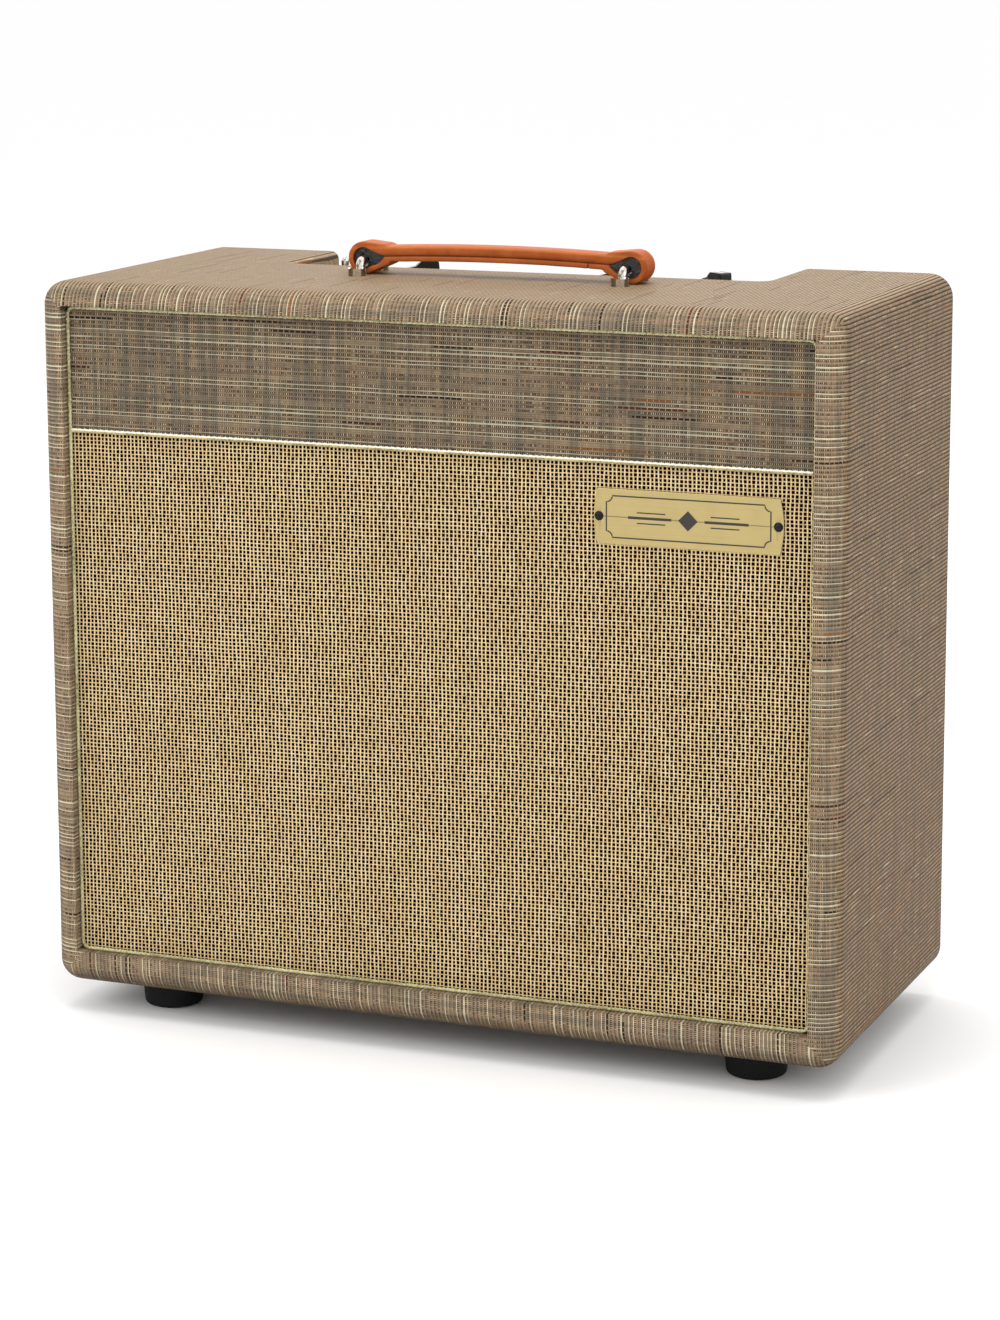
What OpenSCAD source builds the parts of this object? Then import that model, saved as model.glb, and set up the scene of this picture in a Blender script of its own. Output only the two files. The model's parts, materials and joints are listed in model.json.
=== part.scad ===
// Guitar combo amplifier: fabric-covered plywood cabinet, one 12 inch speaker, valve chassis
// with an upward-facing control panel in a rear notch, leather strap handle, rubber feet.
// Millimetres. X to the right, Y to the back, Z up. Origin on the floor, centred.

/* [Cabinet] */
// outside width of the covered cabinet
body_w = 560; // [556:1:600]
// outside height of the covered cabinet, without feet
body_h = 484; // [484:1:500]
// outside depth of the covered cabinet
body_d = 253; // [253:1:270]
// radius of the rounded outside edges
corner_r = 16; // [12:1:18]
// thickness of the side boards
side_t = 17; // [15:0.5:18]
// thickness of the top board
top_t = 14; // [12:0.5:15]
// thickness of the bottom board
bottom_t = 22; // [18:0.5:22]
// thickness of the woven covering
skin_t = 0.8; // [0.6:0.1:1]
// clear width of the notch in the top board
notch_w = 346; // [344:1:360]
// distance the notch reaches in from the back
notch_d = 81.5; // [80:0.5:84]
// radius of the notch's inner corners
notch_r = 12; // [6:1:16]

/* [Front] */
// depth of the front panels behind the front edge
recess = 8.5; // [6:0.5:12]
// height of the divider piping above the cabinet's underside
divider_z = 384.3; // [380:0.1:388]
// radius of the piping round the front opening
piping_r = 1.3; // [1.1:0.05:2]
// radius of the divider piping
divider_r = 1.5; // [1.3:0.1:2.4]
// width of the straight part of the name plate
plate_w = 121.2; // [90:0.1:126]
// height of the name plate
plate_h = 35.7; // [30:0.1:38]
// sideways position of the name plate's centre
plate_x = 177; // [170:1:182]

/* [Speaker] */
// outside diameter of the speaker frame
speaker_d = 305; // [300:1:305]
// diameter of the sound hole in the baffle
sound_d = 280; // [278:1:281]
// diameter of the speaker magnet
magnet_d = 150; // [120:1:156]

/* [Controls] */
// depth of the control panel's face below the top board's underside
panel_drop = 2.2; // [2:0.1:4]
// knob radius at the skirt
knob_r = 10.5; // [9:0.5:12]
// distance from the back edge to the row of controls
ctrl_back = 44.5; // [43:0.5:46]
// resting tilt of the toggle levers
bat_tilt = 11; // [8:1:12]

/* [Handle] */
// half the distance between the strap's two loop centres
loop_half = 96; // [92:0.5:98]
// width of the leather strap
strap_w = 18.4; // [14:0.2:18.6]
// half the distance between the two metal bails
bail_half = 94; // [93:0.5:95]

/* [Feet] */
// foot height
foot_h = 20; // [20:0.5:24]
// foot radius
foot_r = 21.7; // [18:0.1:23]

/* [Hidden] */
z0 = foot_h;
zt = z0 + body_h;
hx = body_w / 2;
hy = body_d / 2;
bx = hx - skin_t - side_t;
zb = z0 + skin_t + bottom_t;
zu = zt - skin_t - top_t;
ox = bx - skin_t;
oz0 = zb + skin_t;
oz1 = zu - skin_t;
px = ox - 0.3;
yf = -hy + recess;
yb = yf + 13;
yr = yb + 12;
zd = z0 + divider_z;
spk_z = (oz0 + zd) / 2 - 1;
notch_x = notch_w / 2;
notch_y = hy - notch_d;
knob_x = [-89, 55, 127];
bat_x = [-149, -121];
jack_x = [-22, 8];
lamp_x = -52;
ch_x = 200;
rp_y = hy - 17.9;
ctrl_y = hy - ctrl_back;
panel_z = zu - panel_drop;
ch_y1 = rp_y - 0.6;
ch_y0 = ch_y1 - 60;
deck_z = panel_z - 1.5;
ch_z0 = deck_z - 74.5;
ch_t = 1.5;
bail_x = [0.5 - bail_half, 0.5 + bail_half];
strap_c = 2.5;
foot_x = 212.4;
foot_y = hy - 48.7;
spk_bolts = 8;
spk_bc = speaker_d / 2 - 6.5;
valve_y = ch_y0 + 31;
pw_x = [-82, -30];
pre_x = [22, 60, 98];
fuse_x = 96;
inlet_x = 148;

// ---------- helpers ----------
module along_y() { rotate([-90, 0, 0]) children(); }
module at_speaker() { translate([0, yr, spk_z]) rotate([-90, 0, 0]) children(); }

// block with rounded long edges and a rounded front, o inside the outer surface
module rounded_block(o) {
  r = corner_r - o;
  hull() {
    for (sx = [-1, 1], z = [z0 + corner_r, zt - corner_r]) {
      translate([sx * (hx - corner_r), -hy + corner_r, z]) sphere(r = r, $fn = 32);
      translate([sx * (hx - corner_r), hy - o - 1, z])
        along_y() cylinder(r = r, h = 1, $fn = 32);
    }
  }
}

// outline of the notch seen from above, grown by o
module notch_2d(o) {
  w = notch_x + o;
  y = notch_y - o;
  translate([-w, y + notch_r]) square([2 * w, 200]);
  translate([-w + notch_r, y]) square([2 * (w - notch_r), 200]);
  for (s = [-1, 1]) translate([s * (w - notch_r), y + notch_r]) circle(r = notch_r, $fn = 32);
}

// notch cutter with a rounded top rim
module notch_cut(o, rim) {
  translate([0, 0, zu - 20]) linear_extrude(100) notch_2d(o);
  for (k = [0:4]) {
    a = k * 18;
    b = a + 18;
    hull() {
      translate([0, 0, zt - skin_t + (0.8 - o) - rim * (1 - sin(a))])
        linear_extrude(0.01) notch_2d(o + rim * (1 - cos(a)));
      translate([0, 0, zt - skin_t + (0.8 - o) - rim * (1 - sin(b))])
        linear_extrude(0.01) notch_2d(o + rim * (1 - cos(b)));
    }
  }
}

// finger blocks along the depth, every second one
module fingers(first, x0, x1, za, zc) {
  n = 9;
  p = body_d / n;
  for (i = [first:2:n - 1])
    translate([x0, -hy + i * p, za]) cube([x1 - x0, p, zc - za]);
}

module screw_y(r, l, hr, hh) {
  along_y() { translate([0, 0, -l]) cylinder(r = r, h = l + 0.1, $fn = 24); cylinder(r = hr, h = hh, $fn = 24); }
}

// ---------- cabinet ----------
module cab_side() {
  intersection() {
    rounded_block(skin_t);
    difference() {
      union() {
        translate([bx, -200, zb]) cube([100, 400, zu - zb]);
        fingers(1, bx, hx + 1, zu, zt + 1);
        fingers(1, bx, hx + 1, z0 - 1, zb);
      }
    }
  }
}
baffle_sz = [110, 200, 290, 380, 455];
module side_right() { color("tan") cab_side(); }
module side_left() { color("tan") mirror([1, 0, 0]) cab_side(); }

module top_board() {
  color("tan") difference() {
    intersection() {
      rounded_block(skin_t);
      union() {
        translate([-bx, -200, zu]) cube([2 * bx, 400, 100]);
        fingers(0, bx, hx + 1, zu, zt + 1);
        fingers(0, -hx - 1, -bx, zu, zt + 1);
      }
    }
    notch_cut(skin_t, 6 - skin_t);
    for (x = bail_x, y = [-19, 19]) translate([x, y, zu - 1]) cylinder(r = 2.4, h = 40, $fn = 24);
    for (s = [-1, 1], y = [18, 42]) translate([s * 214, ch_y0 + y, zu - 1]) cylinder(r = 2.05, h = 11, $fn = 24);
  }
}
module bottom_board() {
  color("tan") difference() {
    intersection() {
      rounded_block(skin_t);
      union() {
        translate([-bx, -200, z0 - 50]) cube([2 * bx, 400, zb - z0 + 50]);
        fingers(0, bx, hx + 1, z0 - 1, zb);
        fingers(0, -hx - 1, -bx, z0 - 1, zb);
      }
    }
    for (x = [-1, 1], y = [-1, 1]) translate([x * foot_x, y * foot_y, z0 - 1]) cylinder(r = 2.25, h = 19, $fn = 24);
  }
}
module covering() {
  color("silver") difference() {
    union() {
      difference() {
        rounded_block(0);
        rounded_block(skin_t);
        translate([-bx, -200, zb]) cube([2 * bx, 400, zu - zb]);
      }
      difference() {
        union() {
          translate([-bx, -hy, zb]) cube([2 * bx, 26.5, zu - zb]);
          translate([-bx, rp_y + 0.1, zb]) cube([2 * bx, hy - rp_y - 0.1, zu - zb]);
        }
        translate([-ox, -200, oz0]) cube([2 * ox, 400, oz1 - oz0]);
      }
      intersection() {
        rounded_block(0);
        difference() {
          notch_cut(skin_t, 6 - skin_t);
          translate([-1500, -1500, -100]) cube([3000, 3000, oz1 + 100]);
        }
      }
    }
    notch_cut(0, 6);
    for (x = bail_x, y = [-19, 19]) translate([x, y, zu - 1]) cylinder(r = 2.4, h = 40, $fn = 24);
    for (x = [-1, 1], y = [-1, 1]) translate([x * foot_x, y * foot_y, z0 - 1]) cylinder(r = 2.25, h = 3, $fn = 24);
  }
}

// ---------- front ----------
module bolt_ring(r, h, bc) {
  for (i = [0:spk_bolts - 1]) rotate([0, 0, 22.5 + i * 45]) translate([bc, 0, 0]) cylinder(r = r, h = h, $fn = 24);
}
module baffle_board() {
  color("burlywood") difference() {
    translate([-px, yb, oz0 + 0.3]) cube([2 * px, 12, oz1 - oz0 - 0.6]);
    at_speaker() translate([0, 0, -13]) cylinder(d = sound_d, h = 14, $fn = 96);
    at_speaker() translate([0, 0, -13]) bolt_ring(2.55, 14, spk_bc);
    at_speaker() translate([0, 0, -12.5]) bolt_ring(5.05, 3, spk_bc);
    for (s = [-1, 1], z = baffle_sz) translate([s * (bx - 8.5), yr - 10, z]) along_y() cylinder(r = 2.05, h = 20, $fn = 24);
    for (p = panel_pts) translate([p[0], yb - 1, p[1]]) along_y() cylinder(r = 2.05, h = 14, $fn = 24);
  }
}
panel_pts = [[-225, 92], [225, 92], [-225, 330], [225, 330], [-180, 446], [0, 446], [180, 446]];
module baffle_cleats() {
  color("wheat") difference() {
    for (s = [-1, 1]) translate([s * (bx - 8.5) - 8.5, yr, 70]) cube([17, 17, 405]);
    for (s = [-1, 1], z = baffle_sz) translate([s * (bx - 8.5), yr - 1, z]) along_y() cylinder(r = 2.05, h = 20, $fn = 24);
  }
}
module baffle_screws() {
  color("dimgray") {
    for (s = [-1, 1], z = baffle_sz) translate([s * (bx - 8.5), yr + 17, z]) screw_y(2, 26.5, 4, 2.4);
    for (p = panel_pts) translate([p[0], yr, p[1]]) screw_y(2, 22, 4, 2.4);
  }
}
module fascia_panel() {
  color("burlywood") difference() {
    translate([-px + skin_t, yf + skin_t, zd + 0.8 + skin_t])
      cube([2 * (px - skin_t), yb - yf - skin_t, oz1 - 0.3 - skin_t - (zd + 0.8 + skin_t)]);
    for (i = [4:6]) translate([panel_pts[i][0], yb - 10.5, panel_pts[i][1]]) along_y() cylinder(r = 2.05, h = 11, $fn = 24);
  }
}
module fascia_covering() {
  color("silver") difference() {
    translate([-px, yf, zd + 0.8]) cube([2 * px, yb - yf, oz1 - 0.3 - (zd + 0.8)]);
    translate([-px + skin_t, yf + skin_t, zd + 0.8 + skin_t])
      cube([2 * (px - skin_t), yb - yf, oz1 - 0.3 - skin_t - (zd + 0.8 + skin_t)]);
  }
}
module plate_pts() {
  for (s = [-1, 1]) translate([plate_x + s * (plate_w / 2 - 1.1), 0, z0 + 349.3]) children();
}
module grille_frame() {
  color("burlywood") difference() {
    translate([-px + 1, yf + 1, oz0 + 1.3]) cube([2 * (px - 1), yb - yf - 1, zd - 0.8 - 1 - (oz0 + 1.3)]);
    translate([-205, yf - 1, 72]) cube([410, 40, 268]);
    translate([-100, yf - 1, 330]) cube([200, 40, 52]);
    plate_pts() translate([0, yf - 1, 0]) along_y() cylinder(r = 1.45, h = 10, $fn = 24);
    for (i = [0:3]) translate([panel_pts[i][0], yb - 10.5, panel_pts[i][1]]) along_y() cylinder(r = 2.05, h = 11, $fn = 24);
  }
}
module grille_cloth() {
  color("gold") difference() {
    translate([-px, yf, oz0 + 0.3]) cube([2 * px, yb - yf, zd - 0.8 - (oz0 + 0.3)]);
    translate([-px + 1, yf + 1, oz0 + 1.3]) cube([2 * (px - 1), yb - yf, zd - 0.8 - 1 - (oz0 + 1.3)]);
    plate_pts() translate([0, yf - 1, 0]) along_y() cylinder(r = 1.45, h = 10, $fn = 24);
  }
}
module piping_border() {
  q = ox - piping_r - 0.05;
  za = oz0 + piping_r + 0.05;
  zc = oz1 - piping_r - 0.05;
  c = 5;
  color("khaki") translate([0, yf - piping_r - 0.05, 0]) {
    for (s = [-1, 1]) translate([s * q, 0, za + c]) cylinder(r = piping_r, h = zc - za - 2 * c, $fn = 24);
    for (z = [za, zc]) translate([-q + c, 0, z]) rotate([0, 90, 0]) cylinder(r = piping_r, h = 2 * (q - c), $fn = 24);
    for (k = [[q - c, za + c, 0], [q - c, zc - c, -90], [-q + c, zc - c, 180], [-q + c, za + c, 90]])
      translate([k[0], 0, k[1]]) rotate([90, k[2], 0])
        rotate([0, 0, -90]) rotate_extrude(angle = 90, $fn = 48) translate([c, 0]) circle(r = piping_r, $fn = 24);
  }
}
module piping_divider() {
  l = ox - 2 * piping_r - 0.15;
  color("khaki") translate([-l, yf - divider_r - 0.05, zd]) rotate([0, 90, 0]) cylinder(r = divider_r, h = 2 * l, $fn = 32);
}
module name_plate() {
  sag = 2.4;
  rr = (plate_h * plate_h / 4 + sag * sag) / (2 * sag);
  color("gold") translate([plate_x, yf, z0 + 349.3]) rotate([90, 0, 0]) difference() {
    linear_extrude(1.4) union() {
      square([plate_w, plate_h], center = true);
      for (s = [-1, 1]) intersection() {
        translate([s * (plate_w / 2 + sag - rr), 0]) circle(r = rr, $fn = 96);
        translate([s * (plate_w / 2 + 2), 0]) square([5, plate_h], center = true);
      }
    }
    for (s = [-1, 1]) translate([s * (plate_w / 2 - 1.1), 0, -1]) cylinder(r = 1.45, h = 4, $fn = 24);
  }
}
module plate_screws() {
  color("black") plate_pts() translate([0, yf - 1.4, 0]) {
    along_y() cylinder(r = 1.4, h = 8.5, $fn = 24);
    rotate([90, 0, 0]) intersection() {
      translate([0, 0, -2.2]) sphere(r = 3.8, $fn = 32);
      cylinder(r = 4, h = 4, $fn = 32);
    }
  }
}

// ---------- feet ----------
module at_feet() { for (x = [-1, 1], y = [-1, 1]) translate([x * foot_x, y * foot_y, 0]) children(); }
module feet() {
  color("black") at_feet() difference() {
    rotate_extrude($fn = 64) union() {
      polygon([[0, 0], [foot_r - 4.6, 0], [foot_r - 1.6, 3], [foot_r, foot_h], [0, foot_h]]);
      translate([foot_r - 4.6, 3]) circle(r = 3, $fn = 32);
    }
    translate([0, 0, -1]) cylinder(r = 7, h = foot_h - 7, $fn = 32);
    cylinder(r = 2.3, h = foot_h + 1, $fn = 24);
  }
}
module foot_screws() {
  color("silver") at_feet() {
    translate([0, 0, foot_h - 9.2]) cylinder(r = 6.5, h = 1.2, $fn = 32);
    translate([0, 0, foot_h - 12.2]) cylinder(r = 4.2, h = 3, $fn = 32);
    translate([0, 0, foot_h - 10]) cylinder(r = 2.2, h = 27, $fn = 24);
  }
}

// ---------- back ----------
rear_x = bx - 18.2;
rear_pts = [for (x = [-rear_x, rear_x], z = [60, 160, 418, 474]) [x, z]];
module rear_holes(r, y, h) { for (p = rear_pts) translate([p[0], y, p[1]]) along_y() cylinder(r = r, h = h, $fn = 24); }
module rear_panel_upper() {
  color("silver") difference() {
    translate([-px, rp_y, 400]) cube([2 * px, 12, oz1 - 0.3 - 400]);
    translate([-notch_x - 1, 0, deck_z - 1.5]) cube([2 * notch_x + 2, 200, 50]);
    translate([fuse_x - 18, 0, ch_z0 + 17]) cube([inlet_x - fuse_x + 40, 200, 40]);
    rear_holes(2.05, 100, 40);
  }
}
module rear_panel_lower() {
  color("silver") difference() {
    translate([-px, rp_y, oz0 + 0.3]) cube([2 * px, 12, 175 - oz0]);
    rear_holes(2.05, 100, 40);
  }
}
module rear_cleats() {
  color("wheat") difference() {
    for (s = [-1, 1], k = [[oz0 + 0.5, 175], [400, oz1 - 0.5]])
      translate([s * (bx - 19), rp_y - 9, k[0]]) translate([s < 0 ? -19 : -15, -8, 0]) cube([34, 17, k[1] - k[0]]);
    rear_holes(2.05, rp_y - 14, 16);
  }
}
module rear_screws() {
  color("silver") for (p = rear_pts) translate([p[0], rp_y + 12, p[1]]) {
    along_y() translate([0, 0, -24]) cylinder(r = 2, h = 24.5, $fn = 24);
    along_y() cylinder(r = 6, h = 0.8, $fn = 32);
    along_y() translate([0, 0, 0.8]) cylinder(r = 4, h = 2.2, $fn = 32);
  }
}

// ---------- handle ----------
function band(x) = 12.2 + 2.4 * (1 - pow(x / 88, 2));
module band_2d(lo, hi, x0, x1) {
  n = 14;
  polygon(concat([for (i = [0:n]) let (x = x0 + (x1 - x0) * i / n) [x, band(x) + lo]],
    [for (i = [n:-1:0]) let (x = x0 + (x1 - x0) * i / n) [x, band(x) + hi]]));
}
module loop_outer(s) {
  translate([s * loop_half, 0]) {
    hull() { translate([0, 11.05]) circle(r = 11, $fn = 48); translate([-s * 14, 15.6]) circle(r = 5, $fn = 32); }
    hull() { translate([0, 11.05]) circle(r = 11, $fn = 48); translate([-s * 17, 9.2]) circle(r = 2.6, $fn = 32); }
  }
}
module loop_inner(s) {
  translate([s * loop_half, 0]) hull() {
    translate([0, 10.9]) circle(r = 6.7, $fn = 48);
    translate([-s * 9.5, 8.9]) circle(r = 2, $fn = 24);
    translate([-s * 15, 11.6]) circle(r = 0.5, $fn = 24);
  }
}
module strap_2d() {
  difference() {
    union() {
      band_2d(0.05, 6.4, -loop_half + 2, loop_half - 2);
      band_2d(-3.9, -0.05, -loop_half + 14, loop_half - 14);
      band_2d(-1, 1, -60, 60);
      for (s = [-1, 1]) loop_outer(s);
    }
    for (s = [-1, 1]) loop_inner(s);
  }
}
module handle_strap() {
  color("chocolate") translate([strap_c, 0, zt]) difference() {
    rotate([90, 0, 0]) linear_extrude(strap_w, center = true) strap_2d();
    rotate([90, 0, 0]) linear_extrude(12.1, center = true) band_2d(2.35, 3.65, -72.05, 72.05);
  }
}
module loop_liners() {
  color("black") translate([strap_c, 0, zt]) rotate([90, 0, 0]) linear_extrude(strap_w - 3, center = true)
    for (s = [-1, 1]) difference() {
      offset(delta = -0.05) loop_inner(s);
      hull() {
        translate([s * bail_half + 0.5 - strap_c, 10.3]) circle(r = 3.8, $fn = 48);
        translate([s * bail_half + 0.5 - strap_c, 8.4]) circle(r = 3.8, $fn = 48);
      }
    }
}
module handle_core() {
  color("silver") translate([strap_c, 0, zt]) rotate([90, 0, 0]) linear_extrude(12, center = true) band_2d(2.4, 3.6, -72, 72);
}
module bail(x) {
  rr = 3.2;
  bend = 4;
  top = 13.2 - rr;
  ly = 13.2;
  color("silver") translate([x, 0, zt]) {
    for (s = [-1, 1]) {
      translate([0, s * ly, 0]) cylinder(r = rr, h = top - bend, $fn = 32);
      translate([0, s * (ly - bend), top - bend]) rotate([0, 0, s * 90]) rotate([90, 0, 0])
        rotate_extrude(angle = 90, $fn = 48) translate([bend, 0]) circle(r = rr, $fn = 32);
      translate([0, s * 19, 0]) cylinder(r = 6.2, h = 5, $fn = 48);
      translate([0, s * 19, -top_t - 7]) cylinder(r = 2, h = top_t + 8, $fn = 24);
    }
    translate([0, -(ly - bend), top]) along_y() cylinder(r = rr, h = 2 * (ly - bend), $fn = 32);
  }
}
module handle_bail_left() { bail(bail_x[0]); }
module handle_bail_right() { bail(bail_x[1]); }
module handle_nuts() {
  color("silver") for (x = bail_x, y = [-19, 19]) translate([x, y, 0]) difference() {
    union() {
      translate([0, 0, zu - 1]) cylinder(r = 5, h = 1, $fn = 32);
      translate([0, 0, zu - 4.2]) cylinder(r = 4, h = 3.2, $fn = 6);
    }
    translate([0, 0, zu - 6]) cylinder(r = 2.05, h = 8, $fn = 24);
  }
}

// ---------- speaker, drawn along +Z from the baffle's back face ----------
sr = speaker_d / 2;
sh = sound_d / 2;
module speaker_gasket() {
  color("peru") at_speaker() difference() {
    cylinder(r = sr, h = 2, $fn = 96);
    translate([0, 0, -1]) cylinder(r = sh - 1, h = 4, $fn = 96);
    translate([0, 0, -1]) bolt_ring(2.7, 4, spk_bc);
  }
}
module speaker_surround() {
  color("dimgray") at_speaker() rotate_extrude($fn = 96) {
    translate([sh - 2.6, 2.05]) square([5.6, 0.75]);
    difference() {
      translate([sh - 8, 2.8]) circle(r = 6, $fn = 48);
      translate([sh - 8, 2.8]) circle(r = 5.25, $fn = 48);
      translate([sh - 20, 2.8]) square([30, 20]);
    }
    translate([sh - 19, 2.05]) square([5.5, 0.75]);
  }
}
module speaker_cone() {
  a = sh - 14;
  color("black") at_speaker() rotate_extrude($fn = 96)
    polygon([[a, 2.85], [a - 5, 2.85], [a - 6.2, 3.6], [64, 24], [20.1, 40], [20.1, 41.2], [64.4, 25.2], [a - 5.6, 4.6], [a - 4.6, 3.85], [a, 3.85]]);
}
module dust_cap() {
  color("dimgray") at_speaker() difference() {
    intersection() {
      translate([0, 0, 60.8]) sphere(r = 36, $fn = 64);
      translate([0, 0, 22]) cylinder(r = 27.2, h = 15.2, $fn = 64);
    }
    translate([0, 0, 60.8]) sphere(r = 35.2, $fn = 64);
  }
}
module voice_coil() {
  color("peru") at_speaker() difference() {
    union() {
      translate([0, 0, 37]) cylinder(r = 20.05, h = 40, $fn = 64);
      translate([0, 0, 63]) cylinder(r = 20.35, h = 12, $fn = 64);
    }
    translate([0, 0, 30]) cylinder(r = 19.6, h = 60, $fn = 64);
  }
}
module speaker_spider() {
  color("goldenrod") at_speaker() rotate_extrude($fn = 96) {
    n = 5;
    translate([20.1, 49.2]) square([4, 0.7]);
    for (i = [0:n - 1]) translate([24 + i * 7.2, 49.55]) difference() {
      translate([3.6, 0]) circle(r = 3.6 + 0.35, $fn = 32);
      translate([3.6, 0]) circle(r = 3.6 - 0.35, $fn = 32);
      translate([-5, i % 2 == 0 ? 0 : -10]) square([20, 10]);
    }
    translate([59.9, 49.2]) square([10, 0.7]);
  }
}
module speaker_basket() {
  color("slategray") at_speaker() difference() {
    rotate_extrude($fn = 96) polygon([[sh + 0.5, 2.85], [sr, 2.85], [sr, 4.4], [sh + 1.6, 4.4],
      [81.6, 51.4], [61.6, 51.4], [61.6, 66], [21.5, 66], [21.5, 64.4], [60, 64.4], [60, 49.95],
      [80.6, 49.95]]);
    for (i = [0:3]) rotate([0, 0, i * 90 + 45]) translate([86, -36, 12]) cube([48, 72, 30]);
    bolt_ring(2.7, 10, spk_bc);
  }
  color("slategray") at_speaker() {
    translate([-13, -78, 51.3]) cube([26, 12, 4.7]);
    for (x = [-9, 9]) translate([x - 2, -72.5, 55]) cube([4, 1, 9]);
  }
}
module magnet_plates() {
  color("silver") at_speaker() {
    difference() {
      translate([0, 0, 66]) cylinder(r = magnet_d / 2 - 9, h = 6, $fn = 96);
      translate([0, 0, 60]) cylinder(r = 21, h = 20, $fn = 64);
    }
    translate([0, 0, 90]) cylinder(r = magnet_d / 2 - 9, h = 6, $fn = 96);
    translate([0, 0, 66]) cylinder(r = 19, h = 26, $fn = 64);
  }
}
module speaker_magnet() {
  color("darkslategray") at_speaker() difference() {
    translate([0, 0, 72]) cylinder(r = magnet_d / 2, h = 18, $fn = 96);
    translate([0, 0, 60]) cylinder(r = 34, h = 40, $fn = 64);
  }
}
module speaker_bolts() {
  color("silver") at_speaker() {
    translate([0, 0, -11.8]) bolt_ring(5, 2, spk_bc);
    translate([0, 0, -11]) bolt_ring(2.5, 23, spk_bc);
    for (i = [0:spk_bolts - 1]) rotate([0, 0, 22.5 + i * 45]) translate([spk_bc, 0, 4.4]) {
      cylinder(r = 4.3, h = 1, $fn = 32);
      cylinder(r = 4.2, h = 5, $fn = 6);
    }
  }
}
module wire(pts, r) {
  for (i = [0:len(pts) - 2]) {
    v = pts[i + 1] - pts[i];
    l = norm(v);
    translate(pts[i]) rotate([0, acos(v[2] / l), atan2(v[1], v[0])]) cylinder(r = r, h = l, $fn = 24);
    if (i > 0) translate(pts[i]) sphere(r = r + 0.08, $fn = 24);
  }
}
module speaker_lead() {
  y = yr + 56.05;
  z = spk_z + 75.4;
  color("black") for (s = [-1, 1]) translate([s * 4, 0, 0])
    wire([[0, y, z], [0, y + 5, z], [0, y + 10, z + 8], [0, y + 29, z + 45], [0, ch_y0 - 8, ch_z0 - 23],
      [0, ch_y0 + 18, ch_z0 - 7], [0, ch_y0 + 18, ch_z0 + 14]], 1.6);
}

// ---------- chassis ----------
module chassis() {
  y0 = ch_y0;
  d = ch_y1 - ch_y0;
  h = deck_z - ch_z0;
  color("lightgray") difference() {
    translate([-ch_x, y0, ch_z0]) cube([2 * ch_x, d, h]);
    translate([-ch_x + ch_t, y0 - 1, ch_z0 + ch_t]) cube([2 * (ch_x - ch_t), d - ch_t + 1, h - 2 * ch_t]);
    for (x = knob_x) translate([x, ctrl_y, deck_z - 5]) cylinder(r = 4.75, h = 10, $fn = 32);
    for (x = bat_x) translate([x, ctrl_y, deck_z - 5]) cylinder(r = 5.95, h = 10, $fn = 32);
    for (x = jack_x) translate([x, ctrl_y, deck_z - 5]) cylinder(r = 4.75, h = 10, $fn = 32);
    translate([lamp_x, ctrl_y, deck_z - 5]) cylinder(r = 6.05, h = 10, $fn = 32);
    for (x = pw_x) translate([x, valve_y, ch_z0 - 1]) cylinder(r = 14.1, h = 5, $fn = 48);
    for (x = pre_x) translate([x, valve_y, ch_z0 - 1]) cylinder(r = 9.1, h = 5, $fn = 48);
    translate([-5.7, ch_y0 + 16.3, ch_z0 - 1]) cube([11.4, 3.4, 5]);
    for (x = [-180, -120], y = [10, 50]) translate([x, ch_y0 + y, ch_z0 - 1]) cylinder(r = 2.05, h = 5, $fn = 24);
    for (x = [138, 186]) translate([x, valve_y, ch_z0 - 1]) cylinder(r = 2.05, h = 5, $fn = 24);
    translate([inlet_x - 14, ch_y1 - 8, ch_z0 + 27]) cube([28, 20, 20]);
    translate([fuse_x, ch_y1 - 8, ch_z0 + 37]) along_y() cylinder(r = 6.05, h = 20, $fn = 32);
    for (s = [-1, 1], z = [19, 51]) translate([s * ch_x, ch_y0 + 30, ch_z0 + z]) rotate([0, 90, 0]) cylinder(r = 2.55, h = 10, center = true, $fn = 24);
    
  }
}
module chassis_brackets() {
  color("silver") difference() {
    for (s = [-1, 1]) {
      translate([s * (ch_x + 1) - 1, ch_y0 + 10, ch_z0 + 11]) cube([2, 40, zu - ch_z0 - 11]);
      translate([s * (ch_x + 13.5) - 13.5, ch_y0 + 10, zu - 2]) cube([27, 40, 2]);
    }
    for (s = [-1, 1], z = [19, 51]) translate([s * ch_x, ch_y0 + 30, ch_z0 + z]) rotate([0, 90, 0]) cylinder(r = 2.55, h = 10, center = true, $fn = 24);
    for (s = [-1, 1], y = [18, 42]) translate([s * 214, ch_y0 + y, zu - 5]) cylinder(r = 2.05, h = 10, $fn = 24);
  }
}
module chassis_bolts() {
  color("silver") {
    for (s = [-1, 1], z = [19, 51]) translate([s * ch_x, ch_y0 + 30, ch_z0 + z]) rotate([0, s * 90, 0]) {
      translate([0, 0, -5.5]) cylinder(r = 2.5, h = 10, $fn = 24);
      translate([0, 0, 2]) cylinder(r = 4.5, h = 3.2, $fn = 32);
      translate([0, 0, -1.5 - 3.5]) cylinder(r = 4.4, h = 3.5, $fn = 6);
    }
    for (s = [-1, 1], y = [18, 42]) translate([s * 214, ch_y0 + y, 0]) {
      translate([0, 0, zu - 4]) cylinder(r = 4, h = 2, $fn = 32);
      translate([0, 0, zu - 4]) cylinder(r = 2, h = 13, $fn = 24);
    }
  }
}
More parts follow.
